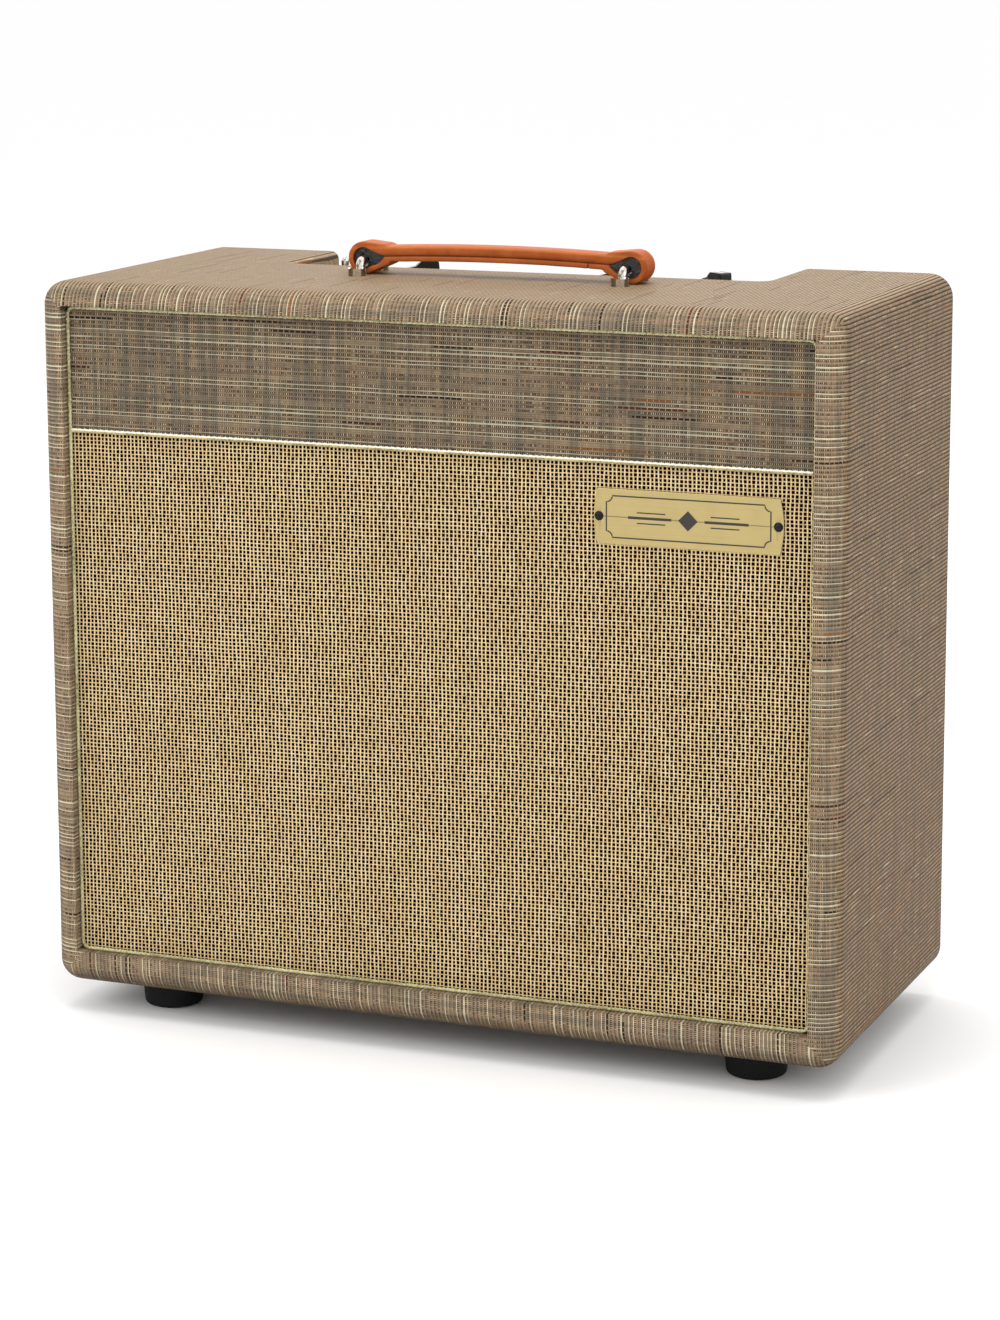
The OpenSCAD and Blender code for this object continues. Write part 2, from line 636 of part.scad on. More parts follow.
module control_panel() {
  color("goldenrod") difference() {
    translate([-notch_x + 5, ch_y0 + 1, deck_z]) cube([2 * notch_x - 10, ch_y1 - ch_y0 - 2, 1.5]);
    for (x = concat(knob_x, jack_x)) translate([x, ctrl_y, deck_z - 5]) cylinder(r = 4.75, h = 10, $fn = 32);
    for (x = bat_x) translate([x, ctrl_y, deck_z - 5]) cylinder(r = 5.95, h = 10, $fn = 32);
    translate([lamp_x, ctrl_y, deck_z - 5]) cylinder(r = 6.05, h = 10, $fn = 32);
  }
}
module pot_bodies() {
  color("silver") for (x = knob_x) translate([x, ctrl_y, 0]) difference() {
    union() {
      translate([0, 0, deck_z - ch_t - 10]) cylinder(r = 12, h = 10, $fn = 48);
      translate([-9, 8, deck_z - ch_t - 9]) cube([18, 9, 1.6]);
      translate([0, 0, deck_z - ch_t - 1]) cylinder(r = 4.7, h = 6.8, $fn = 32);
      translate([0, 0, panel_z]) cylinder(r = 6.4, h = 2.2, $fn = 6);
    }
    translate([0, 0, deck_z - ch_t - 6]) cylinder(r = 3.05, h = 40, $fn = 32);
  }
}
module shaft(x) {
  color("silver") translate([x, ctrl_y, deck_z - ch_t - 5.9]) cylinder(r = 3, h = panel_z + 13 - (deck_z - ch_t - 5.9), $fn = 32);
}
module shaft_volume() { shaft(knob_x[0]); }
module shaft_tone() { shaft(knob_x[1]); }
module shaft_reverb() { shaft(knob_x[2]); }
module knob(x, a) {
  color("black") translate([x, ctrl_y, panel_z + 0.9]) rotate([0, 0, a]) difference() {
    union() {
      cylinder(r1 = knob_r, r2 = knob_r - 1, h = 8, $fn = 64);
      intersection() {
        linear_extrude(16.6) polygon([[-12, -4.2], [-12, 4.2], [-9, 4.9], [3, 4.9], [11, 3.2], [16.5, 0.9], [16.5, -0.9], [11, -3.2], [3, -4.9], [-9, -4.9]]);
        translate([0, 20, 0]) rotate([90, 0, 0]) linear_extrude(40) polygon([[-13, 0], [-11.6, 15.6], [-10.6, 16.6], [0.5, 16.6], [4.5, 13], [15.6, 10.4], [17, 0]]);
      }
    }
    translate([0, 0, -1]) cylinder(r = 7.4, h = 4, $fn = 48);
    translate([0, 0, -1]) cylinder(r = 3.05, h = 13.3, $fn = 32);
  }
}
module knob_volume() { knob(knob_x[0], 205); }
module knob_tone() { knob(knob_x[1], 180); }
module knob_reverb() { knob(knob_x[2], 145); }
module switch_bodies() {
  color("silver") for (x = bat_x) translate([x, ctrl_y, 0]) difference() {
    union() {
      translate([-6.5, -13, deck_z - ch_t - 20]) cube([13, 26, 20]);
      translate([0, 0, deck_z - ch_t - 1]) cylinder(r = 5.9, h = 9.5, $fn = 32);
      translate([0, 0, panel_z]) cylinder(r = 8.2, h = 2, $fn = 6);
    }
    translate([0, 0, deck_z - 5]) cylinder(r = 3.6, h = 20, $fn = 32);
  }
}
module toggle(x) {
  color("silver") translate([x, ctrl_y, panel_z - 1]) rotate([-bat_tilt, 0, 0]) {
    intersection() {
      sphere(r = 3.55, $fn = 32);
      cube([5.2, 8, 8], center = true);
    }
    rotate([0, 90, 0]) cylinder(r = 1.2, h = 6.5, center = true, $fn = 32);
    cylinder(r1 = 1.6, r2 = 3, h = 16, $fn = 32);
    translate([0, 0, 16]) sphere(r = 3, $fn = 32);
  }
}
module toggle_power() { toggle(bat_x[0]); }
module toggle_standby() { toggle(bat_x[1]); }
module pilot_lamp() {
  color("red") translate([lamp_x, ctrl_y, 0]) {
    translate([0, 0, deck_z - ch_t - 18]) cylinder(r = 6, h = 22, $fn = 32);
    translate([0, 0, panel_z]) cylinder(r = 8, h = 2, $fn = 48);
    translate([0, 0, panel_z]) cylinder(r1 = 6, r2 = 4, h = 7, $fn = 48);
  }
}
module input_jacks() {
  color("silver") for (x = jack_x) translate([x, ctrl_y, 0]) difference() {
    union() {
      translate([-10, -10, deck_z - ch_t - 26]) cube([20, 20, 26]);
      translate([0, 0, deck_z - ch_t - 1]) cylinder(r = 4.7, h = 7.2, $fn = 32);
      translate([0, 0, panel_z]) cylinder(r = 7.4, h = 2.4, $fn = 6);
    }
    translate([0, 0, deck_z - ch_t - 24]) cylinder(r = 3.2, h = 60, $fn = 32);
  }
}
module circuit_board() {
  z = ch_z0 + 12;
  color("darkgreen") {
    difference() {
      translate([-112, ch_y0 + 3.5, z]) cube([224, 50, 1.6]);
      translate([-14, ch_y0 + 10, z - 1]) cube([28, 12, 4]);
    }
    for (x = [-100, 100], y = [8, 48]) translate([x, ch_y0 + y, ch_z0 + ch_t]) cylinder(r = 3, h = z - ch_z0 - ch_t, $fn = 24);
    for (i = [0:5]) translate([-90 + i * 13, ch_y0 + 36, z + 1.5]) cube([6, 14, 8]);
    for (i = [0:6]) translate([22 + i * 11, ch_y0 + 40, z + 3.2]) along_y() cylinder(r = 2.1, h = 10, $fn = 24);
    for (x = [-88, -58, -28]) translate([x, ch_y0 + 18, z + 8.6]) rotate([0, 90, 0]) cylinder(r = 7.6, h = 24, center = true, $fn = 32);
    for (i = [0:4]) translate([30 + i * 14, ch_y0 + 12, z + 3.2]) along_y() cylinder(r = 2.1, h = 10, $fn = 24);
  }
}
module valve_sockets() {
  color("saddlebrown") {
    for (x = pw_x) translate([x, valve_y, 0]) difference() {
      union() {
        translate([0, 0, ch_z0 - 2]) cylinder(r = 19, h = 2, $fn = 48);
        translate([0, 0, ch_z0 - 10]) cylinder(r = 17.6, h = 9, $fn = 48);
        translate([0, 0, ch_z0 - 1]) cylinder(r = 14, h = 8, $fn = 48);
      }
      translate([0, 0, ch_z0 - 20]) cylinder(r = 15.1, h = 18.5, $fn = 48);
    }
    for (x = pre_x) translate([x, valve_y, 0]) difference() {
      union() {
        translate([0, 0, ch_z0 - 2]) cylinder(r = 13, h = 2, $fn = 48);
        translate([0, 0, ch_z0 - 9]) cylinder(r = 12.4, h = 8, $fn = 48);
        translate([0, 0, ch_z0 - 1]) cylinder(r = 9, h = 7, $fn = 48);
      }
      translate([0, 0, ch_z0 - 20]) cylinder(r = 10.6, h = 18.5, $fn = 48);
    }
  }
}
module valve(r, h, neck, base) {
  translate([0, 0, -base]) cylinder(r = neck, h = base, $fn = 48);
  translate([0, 0, -base - h]) rotate_extrude($fn = 48) intersection() {
    union() {
      translate([0, r]) square([r, h - 1.6 * r]);
      translate([0, r]) circle(r = r, $fn = 48);
      polygon([[0, h - r], [r, h - 0.7 * r], [neck - 0.8, h], [0, h + 1]]);
    }
    square([100, 300]);
  }
}
module valves() {
  color("lightblue") {
    for (x = pw_x) translate([x, valve_y, ch_z0 - 1.5]) valve(20, 62, 15, 26);
    for (x = pre_x) translate([x, valve_y, ch_z0 - 1.5]) valve(11, 44, 10.5, 8);
  }
}
module power_transformer() {
  color("dimgray") {
    translate([-192, ch_y0 + 4, ch_z0 - 30]) cube([84, 52, 30]);
    translate([-188, ch_y0 + 8, ch_z0 - 62]) cube([76, 44, 33]);
    for (x = [-180, -120], y = [10, 50]) translate([x, ch_y0 + y, ch_z0 - 1]) cylinder(r = 2, h = 7, $fn = 24);
  }
}
module output_transformer() {
  color("dimgray") {
    translate([142, valve_y - 20, ch_z0 - 36]) cube([40, 40, 36]);
    translate([132, valve_y - 8, ch_z0 - 1.2]) cube([60, 16, 1.2]);
    translate([150, valve_y - 26, ch_z0 - 30]) cube([24, 52, 24]);
    for (x = [138, 186]) translate([x, valve_y, ch_z0 - 3]) cylinder(r = 2, h = 9, $fn = 24);
  }
}
module mains_inlet() {
  color("black") {
    translate([inlet_x, 0, ch_z0 + 37]) difference() {
      union() {
        translate([-13.9, ch_y1 - 24, -9.9]) cube([27.8, 25, 19.8]);
        translate([-20, ch_y1, -12]) cube([40, 2.5, 24]);
      }
      translate([-12, ch_y1 - 18, -8]) cube([24, 40, 16]);
    }
    for (x = [-7, 0, 7]) translate([inlet_x + x, ch_y1 - 20, ch_z0 + (x == 0 ? 40 : 35)]) translate([-1, 0, -2]) cube([2, 18, 4]);
    translate([fuse_x, 0, ch_z0 + 37]) {
      translate([0, ch_y1 - 32, 0]) along_y() cylinder(r = 6, h = 34, $fn = 32);
      translate([0, ch_y1, 0]) along_y() cylinder(r = 9, h = 4, $fn = 32);
      translate([0, ch_y1 + 3, 0]) along_y() cylinder(r = 7, h = 8, $fn = 32);
    }
  }
}

// ---------- drawing ----------
side_left();
side_right();
top_board();
bottom_board();
covering();
baffle_board();
baffle_cleats();
baffle_screws();
fascia_panel();
fascia_covering();
grille_frame();
grille_cloth();
piping_border();
piping_divider();
name_plate();
plate_screws();
feet();
foot_screws();
rear_panel_upper();
rear_panel_lower();
rear_cleats();
rear_screws();
handle_strap();
loop_liners();
handle_core();
handle_bail_left();
handle_bail_right();
handle_nuts();
speaker_basket();
speaker_magnet();
magnet_plates();
speaker_cone();
speaker_surround();
dust_cap();
voice_coil();
speaker_spider();
speaker_gasket();
speaker_bolts();
speaker_lead();
chassis();
chassis_brackets();
chassis_bolts();
control_panel();
pot_bodies();
shaft_volume();
shaft_tone();
shaft_reverb();
knob_volume();
knob_tone();
knob_reverb();
switch_bodies();
toggle_power();
toggle_standby();
pilot_lamp();
input_jacks();
circuit_board();
valves();
valve_sockets();
power_transformer();
output_transformer();
mains_inlet();
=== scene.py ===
import json
import math
import bmesh
import bpy
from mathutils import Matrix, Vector
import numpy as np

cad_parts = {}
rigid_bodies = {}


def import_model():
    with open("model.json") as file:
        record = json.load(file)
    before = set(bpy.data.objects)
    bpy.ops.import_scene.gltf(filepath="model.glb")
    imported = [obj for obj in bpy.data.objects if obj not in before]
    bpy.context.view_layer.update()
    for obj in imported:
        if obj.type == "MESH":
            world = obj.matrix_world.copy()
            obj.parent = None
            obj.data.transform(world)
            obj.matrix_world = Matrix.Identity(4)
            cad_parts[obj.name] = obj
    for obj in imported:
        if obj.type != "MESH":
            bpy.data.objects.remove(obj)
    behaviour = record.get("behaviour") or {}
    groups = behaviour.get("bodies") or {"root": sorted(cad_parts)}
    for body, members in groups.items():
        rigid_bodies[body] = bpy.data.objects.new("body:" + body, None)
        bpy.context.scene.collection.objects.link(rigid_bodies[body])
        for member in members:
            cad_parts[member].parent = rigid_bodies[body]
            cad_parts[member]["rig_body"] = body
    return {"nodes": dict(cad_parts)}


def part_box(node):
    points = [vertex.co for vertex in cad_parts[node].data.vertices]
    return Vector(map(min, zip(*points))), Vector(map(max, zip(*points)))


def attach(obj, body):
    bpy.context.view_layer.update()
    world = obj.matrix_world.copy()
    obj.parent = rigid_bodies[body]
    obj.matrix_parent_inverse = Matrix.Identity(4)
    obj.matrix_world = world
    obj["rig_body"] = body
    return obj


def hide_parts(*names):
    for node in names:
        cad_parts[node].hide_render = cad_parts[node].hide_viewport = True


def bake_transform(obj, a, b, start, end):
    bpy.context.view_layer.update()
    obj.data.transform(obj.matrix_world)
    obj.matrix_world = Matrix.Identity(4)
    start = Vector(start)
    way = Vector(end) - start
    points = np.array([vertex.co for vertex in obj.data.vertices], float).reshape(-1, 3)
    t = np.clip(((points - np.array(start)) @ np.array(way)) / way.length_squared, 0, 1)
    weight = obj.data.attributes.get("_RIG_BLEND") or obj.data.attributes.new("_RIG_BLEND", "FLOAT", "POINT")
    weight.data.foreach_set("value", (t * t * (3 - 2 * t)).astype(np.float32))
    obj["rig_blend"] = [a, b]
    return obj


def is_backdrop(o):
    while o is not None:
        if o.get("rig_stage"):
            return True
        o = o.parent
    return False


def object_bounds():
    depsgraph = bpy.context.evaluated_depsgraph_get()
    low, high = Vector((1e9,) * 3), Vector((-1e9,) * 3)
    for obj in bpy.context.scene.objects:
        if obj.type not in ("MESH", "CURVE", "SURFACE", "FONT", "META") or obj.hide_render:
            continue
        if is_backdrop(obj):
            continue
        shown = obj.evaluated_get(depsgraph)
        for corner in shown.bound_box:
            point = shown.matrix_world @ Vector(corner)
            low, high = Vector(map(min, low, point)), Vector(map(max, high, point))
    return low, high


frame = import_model()
cad_lo, cad_hi = (v.copy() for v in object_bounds())
NODES = frame["nodes"]
BODY = {n: o["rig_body"] for n, o in NODES.items()}
TAU = 2 * math.pi


def mm(node):
    """A node's box in millimetres."""
    lo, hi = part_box(node)
    return lo * 1000, hi * 1000


def middle(node):
    """The centre of a node's box, in millimetres."""
    lo, hi = mm(node)
    return [(a + b) / 2 for a, b in zip(lo, hi)]


COV_LO, COV_HI = mm("covering")
HX = COV_HI.x
HZ = (COV_HI.z - COV_LO.z) / 2
ZC = (COV_HI.z + COV_LO.z) / 2
ROUND = 16.0  # radius of the cabinet's long corners

# the strap: height of its band above the top, and how far that falls towards its ends
BAND_TOP, BAND_DROP, BAND_HALF = 14.6, 2.4, 88.0
LOOP_X = 96.0  # centre of each loop, from the strap's middle
BUTT_X = 66.0  # where the underlay's end butts, on one side

# ---------- camera ----------
YAW, PITCH, ROLL = 0.38282, 0.1845, -0.00358
right = Vector((math.cos(YAW), math.sin(YAW), 0))
fwd = Vector((-math.sin(YAW) * math.cos(PITCH), math.cos(YAW) * math.cos(PITCH), -math.sin(PITCH)))
up = right.cross(fwd)
cam_x = right * math.cos(ROLL) + up * math.sin(ROLL)
cam_y = up * math.cos(ROLL) - right * math.sin(ROLL)
cam = bpy.data.objects.new("camera", bpy.data.cameras.new("camera"))
bpy.context.scene.collection.objects.link(cam)
cam.data.lens = 99.115
cam.data.sensor_width = 36
cam.data.shift_y = -0.0758
cam.data.clip_end = 60
cam.data.dof.use_dof = False
rot = cam.matrix_world.to_3x3()
rot.col[0], rot.col[1], rot.col[2] = cam_x, cam_y, -fwd
cam.matrix_world = rot.to_4x4()
cam.location = (0.90659, -2.24707, 0.7643)
bpy.context.scene.camera = cam


# ---------- shader helpers ----------
def c(r, g, b):
    """A colour from 0-255 display values."""
    return tuple(((v / 255 + 0.055) / 1.055) ** 2.4 if v > 10 else v / 3294.6 for v in (r, g, b)) + (1.0,)


class V:
    """One shader value, written with ordinary arithmetic."""

    def __init__(self, look, socket):
        self.look, self.socket = look, socket

    def __add__(self, o):
        return self.look.op("ADD", self, o)

    def __sub__(self, o):
        return self.look.op("SUBTRACT", self, o)

    def __rsub__(self, o):
        return self.look.op("SUBTRACT", o, self)

    def __mul__(self, o):
        return self.look.op("MULTIPLY", self, o)

    def __truediv__(self, o):
        return self.look.op("DIVIDE", self, o)

    def __gt__(self, o):
        return self.look.op("GREATER_THAN", self, o)

    def __lt__(self, o):
        return self.look.op("LESS_THAN", self, o)

    __radd__ = __add__
    __rmul__ = __mul__


class Look:
    """A procedural material. Its sockets are set with put(), from a V or a plain number."""

    def __init__(self, name, rough=0.5, metal=0.0, **more):
        self.m = bpy.data.materials.new(name)
        self.m.use_nodes = True
        self.t = self.m.node_tree
        self.bsdf = next(n for n in self.t.nodes if n.type == "BSDF_PRINCIPLED")
        self.set("Roughness", rough)
        self.set("Metallic", metal)
        for k, v in more.items():
            self.set(k.replace("_", " "), v)

    def put(self, socket, v):
        if isinstance(v, V):
            self.t.links.new(v.socket, socket)
        else:
            socket.default_value = v

    def set(self, name, v):
        self.put(self.bsdf.inputs[name], v)

    def op(self, kind, *args):
        n = self.t.nodes.new("ShaderNodeMath")
        n.operation = kind
        for i, a in enumerate(args):
            self.put(n.inputs[i], a)
        return V(self, n.outputs[0])

    def parts_of(self, output):
        """The three parts of one of the Texture Coordinate node's outputs."""
        tc = self.t.nodes.new("ShaderNodeTexCoord")
        sep = self.t.nodes.new("ShaderNodeSeparateXYZ")
        self.t.links.new(tc.outputs[output], sep.inputs[0])
        return [V(self, sep.outputs[i]) for i in range(3)]

    def xyz(self):
        """Object coordinates in millimetres, which are the row frame's."""
        return [q * 1000.0 for q in self.parts_of("Object")]

    def normal(self):
        """The surface's own direction, in object axes."""
        return self.parts_of("Normal")

    def vec(self, x, y, z=0.0):
        n = self.t.nodes.new("ShaderNodeCombineXYZ")
        for i, a in enumerate((x, y, z)):
            self.put(n.inputs[i], a)
        return V(self, n.outputs[0])

    def noise(self, vec, scale, detail=2.0, rough=0.5):
        n = self.t.nodes.new("ShaderNodeTexNoise")
        self.put(n.inputs["Vector"], vec)
        n.inputs["Scale"].default_value = scale
        n.inputs["Detail"].default_value = detail
        n.inputs["Roughness"].default_value = rough
        return V(self, n.outputs[0])

    def white(self, x, y, z=0.0):
        n = self.t.nodes.new("ShaderNodeTexWhiteNoise")
        n.noise_dimensions = "3D"
        self.put(n.inputs["Vector"], self.vec(x, y, z))
        return V(self, n.outputs["Value"])

    def cells(self, vec, scale):
        n = self.t.nodes.new("ShaderNodeTexVoronoi")
        self.put(n.inputs["Vector"], vec)
        n.inputs["Scale"].default_value = scale
        return V(self, n.outputs["Distance"])

    def ramp(self, fac, *stops, kind="LINEAR"):
        n = self.t.nodes.new("ShaderNodeValToRGB")
        n.color_ramp.interpolation = kind
        el = n.color_ramp.elements
        while len(el) < len(stops):
            el.new(0.5)
        for e, (pos, col) in zip(el, stops):
            e.position = pos
            e.color = col if isinstance(col, tuple) else (col, col, col, 1)
        self.put(n.inputs[0], fac)
        return V(self, n.outputs[0])

    def mix(self, fac, a, b, blend="MIX"):
        n = self.t.nodes.new("ShaderNodeMix")
        n.data_type = "RGBA"
        n.blend_type = blend
        self.put(n.inputs[0], fac)
        self.put(n.inputs[6], a)
        self.put(n.inputs[7], b)
        return V(self, n.outputs[2])

    def smooth(self, v, lo, hi, a=0.0, b=1.0):
        n = self.t.nodes.new("ShaderNodeMapRange")
        n.interpolation_type = "SMOOTHSTEP"
        for i, q in enumerate((v, lo, hi, a, b)):
            self.put(n.inputs[i], q)
        return V(self, n.outputs[0])

    def bump(self, height, distance, strength=1.0):
        n = self.t.nodes.new("ShaderNodeBump")
        n.inputs["Strength"].default_value = strength
        n.inputs["Distance"].default_value = distance
        self.put(n.inputs["Height"], height)
        self.t.links.new(n.outputs[0], self.bsdf.inputs["Normal"])


# ---------- materials ----------
RIB, PICK = 2.75, 1.35  # spacing of the covering's ribs and of its cross threads
HOLE_X, HOLE_Z = 2.8, 2.6  # spacing of the grille cloth's holes


def woven_cover(name, wrap):
    """Ribbed vinyl cloth: ribs, fine cross picks, pale lines and dark broken slubs."""
    k = Look(name, rough=0.62, Specular_IOR_Level=0.12)
    x, y, z = k.xyz()
    if wrap:
        # s runs round the cabinet's outline, v back from its front edge
        ax, zz = k.op("ABSOLUTE", x), z - ZC
        az = k.op("ABSOLUTE", zz)
        side = (HX - ax) < (HZ - az)
        flat = HX - ROUND
        tall = HZ - ROUND
        ox = k.op("MINIMUM", k.op("MAXIMUM", (ax - flat) / ROUND, 0.0), 1.0)
        oz = k.op("MINIMUM", k.op("MAXIMUM", (az - tall) / ROUND, 0.0), 1.0)
        theta = k.op("ARCSINE", ox) * (1.0 - side) + (math.pi / 2 - k.op("ARCSINE", oz)) * side
        up_down = k.op("SIGN", zz)
        ax_c = side * flat + (1.0 - side) * k.op("MINIMUM", ax, flat)
        zs = k.op("MAXIMUM", k.op("MINIMUM", zz, tall), -tall)
        z_c = side * zs + (1.0 - side) * up_down * tall
        over = ax_c + theta * ROUND + (tall - z_c)
        under = (flat + ROUND * math.pi / 2 + 2 * tall + flat) + ROUND * (math.pi / 2 - theta) - ax_c
        low = (zz < 0.0) * (1.0 - side)
        corner = (zz < -tall) * side
        bottom_side = flat + 2 * tall + ROUND * (math.pi - theta)
        s = (over * (1.0 - low) + under * low) * (1.0 - corner) + bottom_side * corner
        s = s * k.op("SIGN", x)
        inset = k.op("MINIMUM", HX - ax, HZ - az)
        v = y - inset
    else:
        s, v = z + y, x
    wander = k.noise(k.vec(s * 0.01, v * 0.02), 1.0, 2) - 0.5
    u = s / RIB + wander * 0.35 + 400.0
    row = k.op("FLOOR", u)
    f = u - row
    thread = v / PICK + 600.0
    cell = k.op("FLOOR", thread)
    g = thread - cell
    flank = k.smooth(y, COV_LO.y + 4.0, COV_LO.y + 14.0) if wrap else 0.0
    rnd = k.white(row, 3.0)
    cross = k.white(cell, row)
    column = k.white(cell, 7.0)
    streak = k.noise(k.vec(row * 0.83, v * 0.016), 1.0, 2, 0.6)
    bands = k.noise(k.vec(s * 0.005, v * 0.2, 5.0), 1.0, 3, 0.7)
    blotch = k.noise(k.vec(s * 0.03, v * 0.05, 8.0), 1.0, 3, 0.6)
    grey = k.smooth(bands + (blotch - 0.5) * 0.45, 0.44, 0.62, 0.0, 0.8)

    def zone(at, half, soft, q=f):
        """One inside a stretch of the repeat, with soft sides."""
        return k.smooth(k.op("ABSOLUTE", q - at), half - soft, half + soft, 1.0, 0.0)

    # two smooth warp threads to a rib
    tone = k.ramp(streak, (0.3, c(112, 98, 82)), (0.5, c(148, 132, 110)), (0.72, c(176, 156, 128)))
    tone = k.mix(k.smooth(cross, 0.0, 1.0, 0.0, 0.30), tone, c(190, 160, 134))
    tone = k.mix(grey * 0.75, tone, c(104, 104, 97))
    # then a lower row of picks, coloured by the weft that crosses it
    plain_row = k.smooth(rnd, 0.16, 0.2, 0.25, 1.0)
    dashed = zone(0.71, 0.24, 0.04) * plain_row
    pick = zone(0.5, 0.22, 0.10, g)
    shade = k.op("FRACT", column * 3.0 + cross * 0.45)
    weft = k.ramp(shade, (0.0, c(124, 100, 80)), (0.35, c(190, 156, 126)), (0.8, c(222, 194, 160)),
                  (1.0, c(240, 226, 198)))
    weft = k.mix(grey * 0.8, weft, c(112, 114, 108))
    dark = k.mix(cross, c(24, 20, 17), c(52, 44, 38))
    dashes = k.mix(pick, dark, weft)
    col = k.mix(dashed, tone, dashes)
    # painted shade: dark lines in the grooves between the ribs
    groove_shade = k.op("MAXIMUM", zone(0.985, 0.055, 0.04), zone(0.445, 0.035, 0.03))
    groove_shade = k.op("MAXIMUM", groove_shade, zone(0.215, 0.03, 0.025) * 0.5)
    col = k.mix(groove_shade * 0.85, col, k.mix(rnd, c(40, 34, 29), c(74, 64, 54)))
    # away from the front the ribs are drawn as plain rounded cords, with painted shade in the dark lines
    # between them
    mottle = k.noise(k.vec(row * 1.7, v * 0.6), 1.0, 3, 0.65)
    cord = k.ramp(mottle, (0.3, c(118, 104, 84)), (0.5, c(156, 133, 109)), (0.7, c(198, 166, 137)))
    cord = k.mix(grey * 0.5, cord, c(108, 104, 90))
    # painted light: the cords on the top and bottom faces are lighter, with fainter dark lines
    top_bottom_light = k.smooth(k.op("ABSOLUTE", z - ZC), HZ - 5.0, HZ - 1.0) if wrap else 0.0
    cord = k.mix(top_bottom_light * 0.5, cord, c(198, 178, 155))
    cord = k.mix(zone(0.82, 0.2, 0.12) * (0.95 - top_bottom_light * 0.1), cord, c(50, 39, 29))
    col = k.mix(flank * 0.7 + (0.3 if wrap else 0.0), col, cord)
    # thin off-white threads on some of the ribs
    first = zone(0.11, 0.085, 0.04) * (k.white(row, 21.0) > 0.68)
    second = zone(0.32, 0.085, 0.04) * (k.white(row, 22.0) > 0.78)
    fade = k.smooth(k.noise(k.vec(row * 3.7, v * 0.012), 1.0, 1), 0.32, 0.52, 0.1, 1.0)
    pale = k.op("MAXIMUM", first, second) * fade * (1.0 - grey * 0.4)
    pale = pale * (1.0 - flank * k.smooth(k.noise(k.vec(row * 5.1, v * 0.04), 1.0, 1), 0.58, 0.66, 1.0, 0.3))
    col = k.mix(pale * 0.95, col, c(226, 222, 194))
    # slubs: dark, red-brown or orange stretches of thread, broken by the weave
    along = v / 74.0 + k.white(row, 11.0) * 9.0 + 50.0
    part = k.op("FLOOR", along)
    chance = k.white(row, part, 5.0)
    length = k.white(row, part, 6.0)
    inside = (along - part) < (length * 0.7 + 0.15)
    broken = k.op("FRACT", v / (3 * PICK) + 100.0) < 0.78
    slub = (chance < flank * 0.02 + 0.08) * inside * broken * zone(0.72 - flank * 0.06, 0.22, 0.05)
    hue = k.ramp(k.white(row, part, 9.0), (0.0, c(34, 24, 18)), (0.4, c(58, 34, 24)),
                 (0.66, c(88, 38, 28)), (0.88, c(140, 86, 44)), kind="CONSTANT")
    col = k.mix(slub, col, hue)
    # the flat cloth, on the fascia and the rear panels, gets a darker tint: painted shade of the fascia's
    # recess
    tint = c(246, 242, 234) if wrap else c(210, 207, 200)
    if wrap:
        # painted shade: the underside, where faces point down, is darker
        tint = k.mix(k.smooth(k.normal()[2], -0.95, -0.05, 0.75, 0.0), tint, c(120, 112, 100))
    # painted shade: on the sides, top and bottom, away from the front, the cloth is multiplied darker and
    # warmer
    warm_shaded = k.mix(1.0, col, c(236, 230, 218), "MULTIPLY")
    k.set("Base Color", k.mix(1.0, k.mix(flank, col, warm_shaded), tint, "MULTIPLY"))
    height = zone(0.32, 0.34, 0.22) + dashed * (pick * 0.45 + 0.05) + pale * 0.3 - groove_shade * 0.3
    k.bump(height + k.noise(k.vec(s, v), 0.9, 2) * 0.12, 0.0004, 0.85)
    k.set("Roughness", k.smooth(groove_shade, 0.0, 1.0, 0.55, 0.8))
    return k


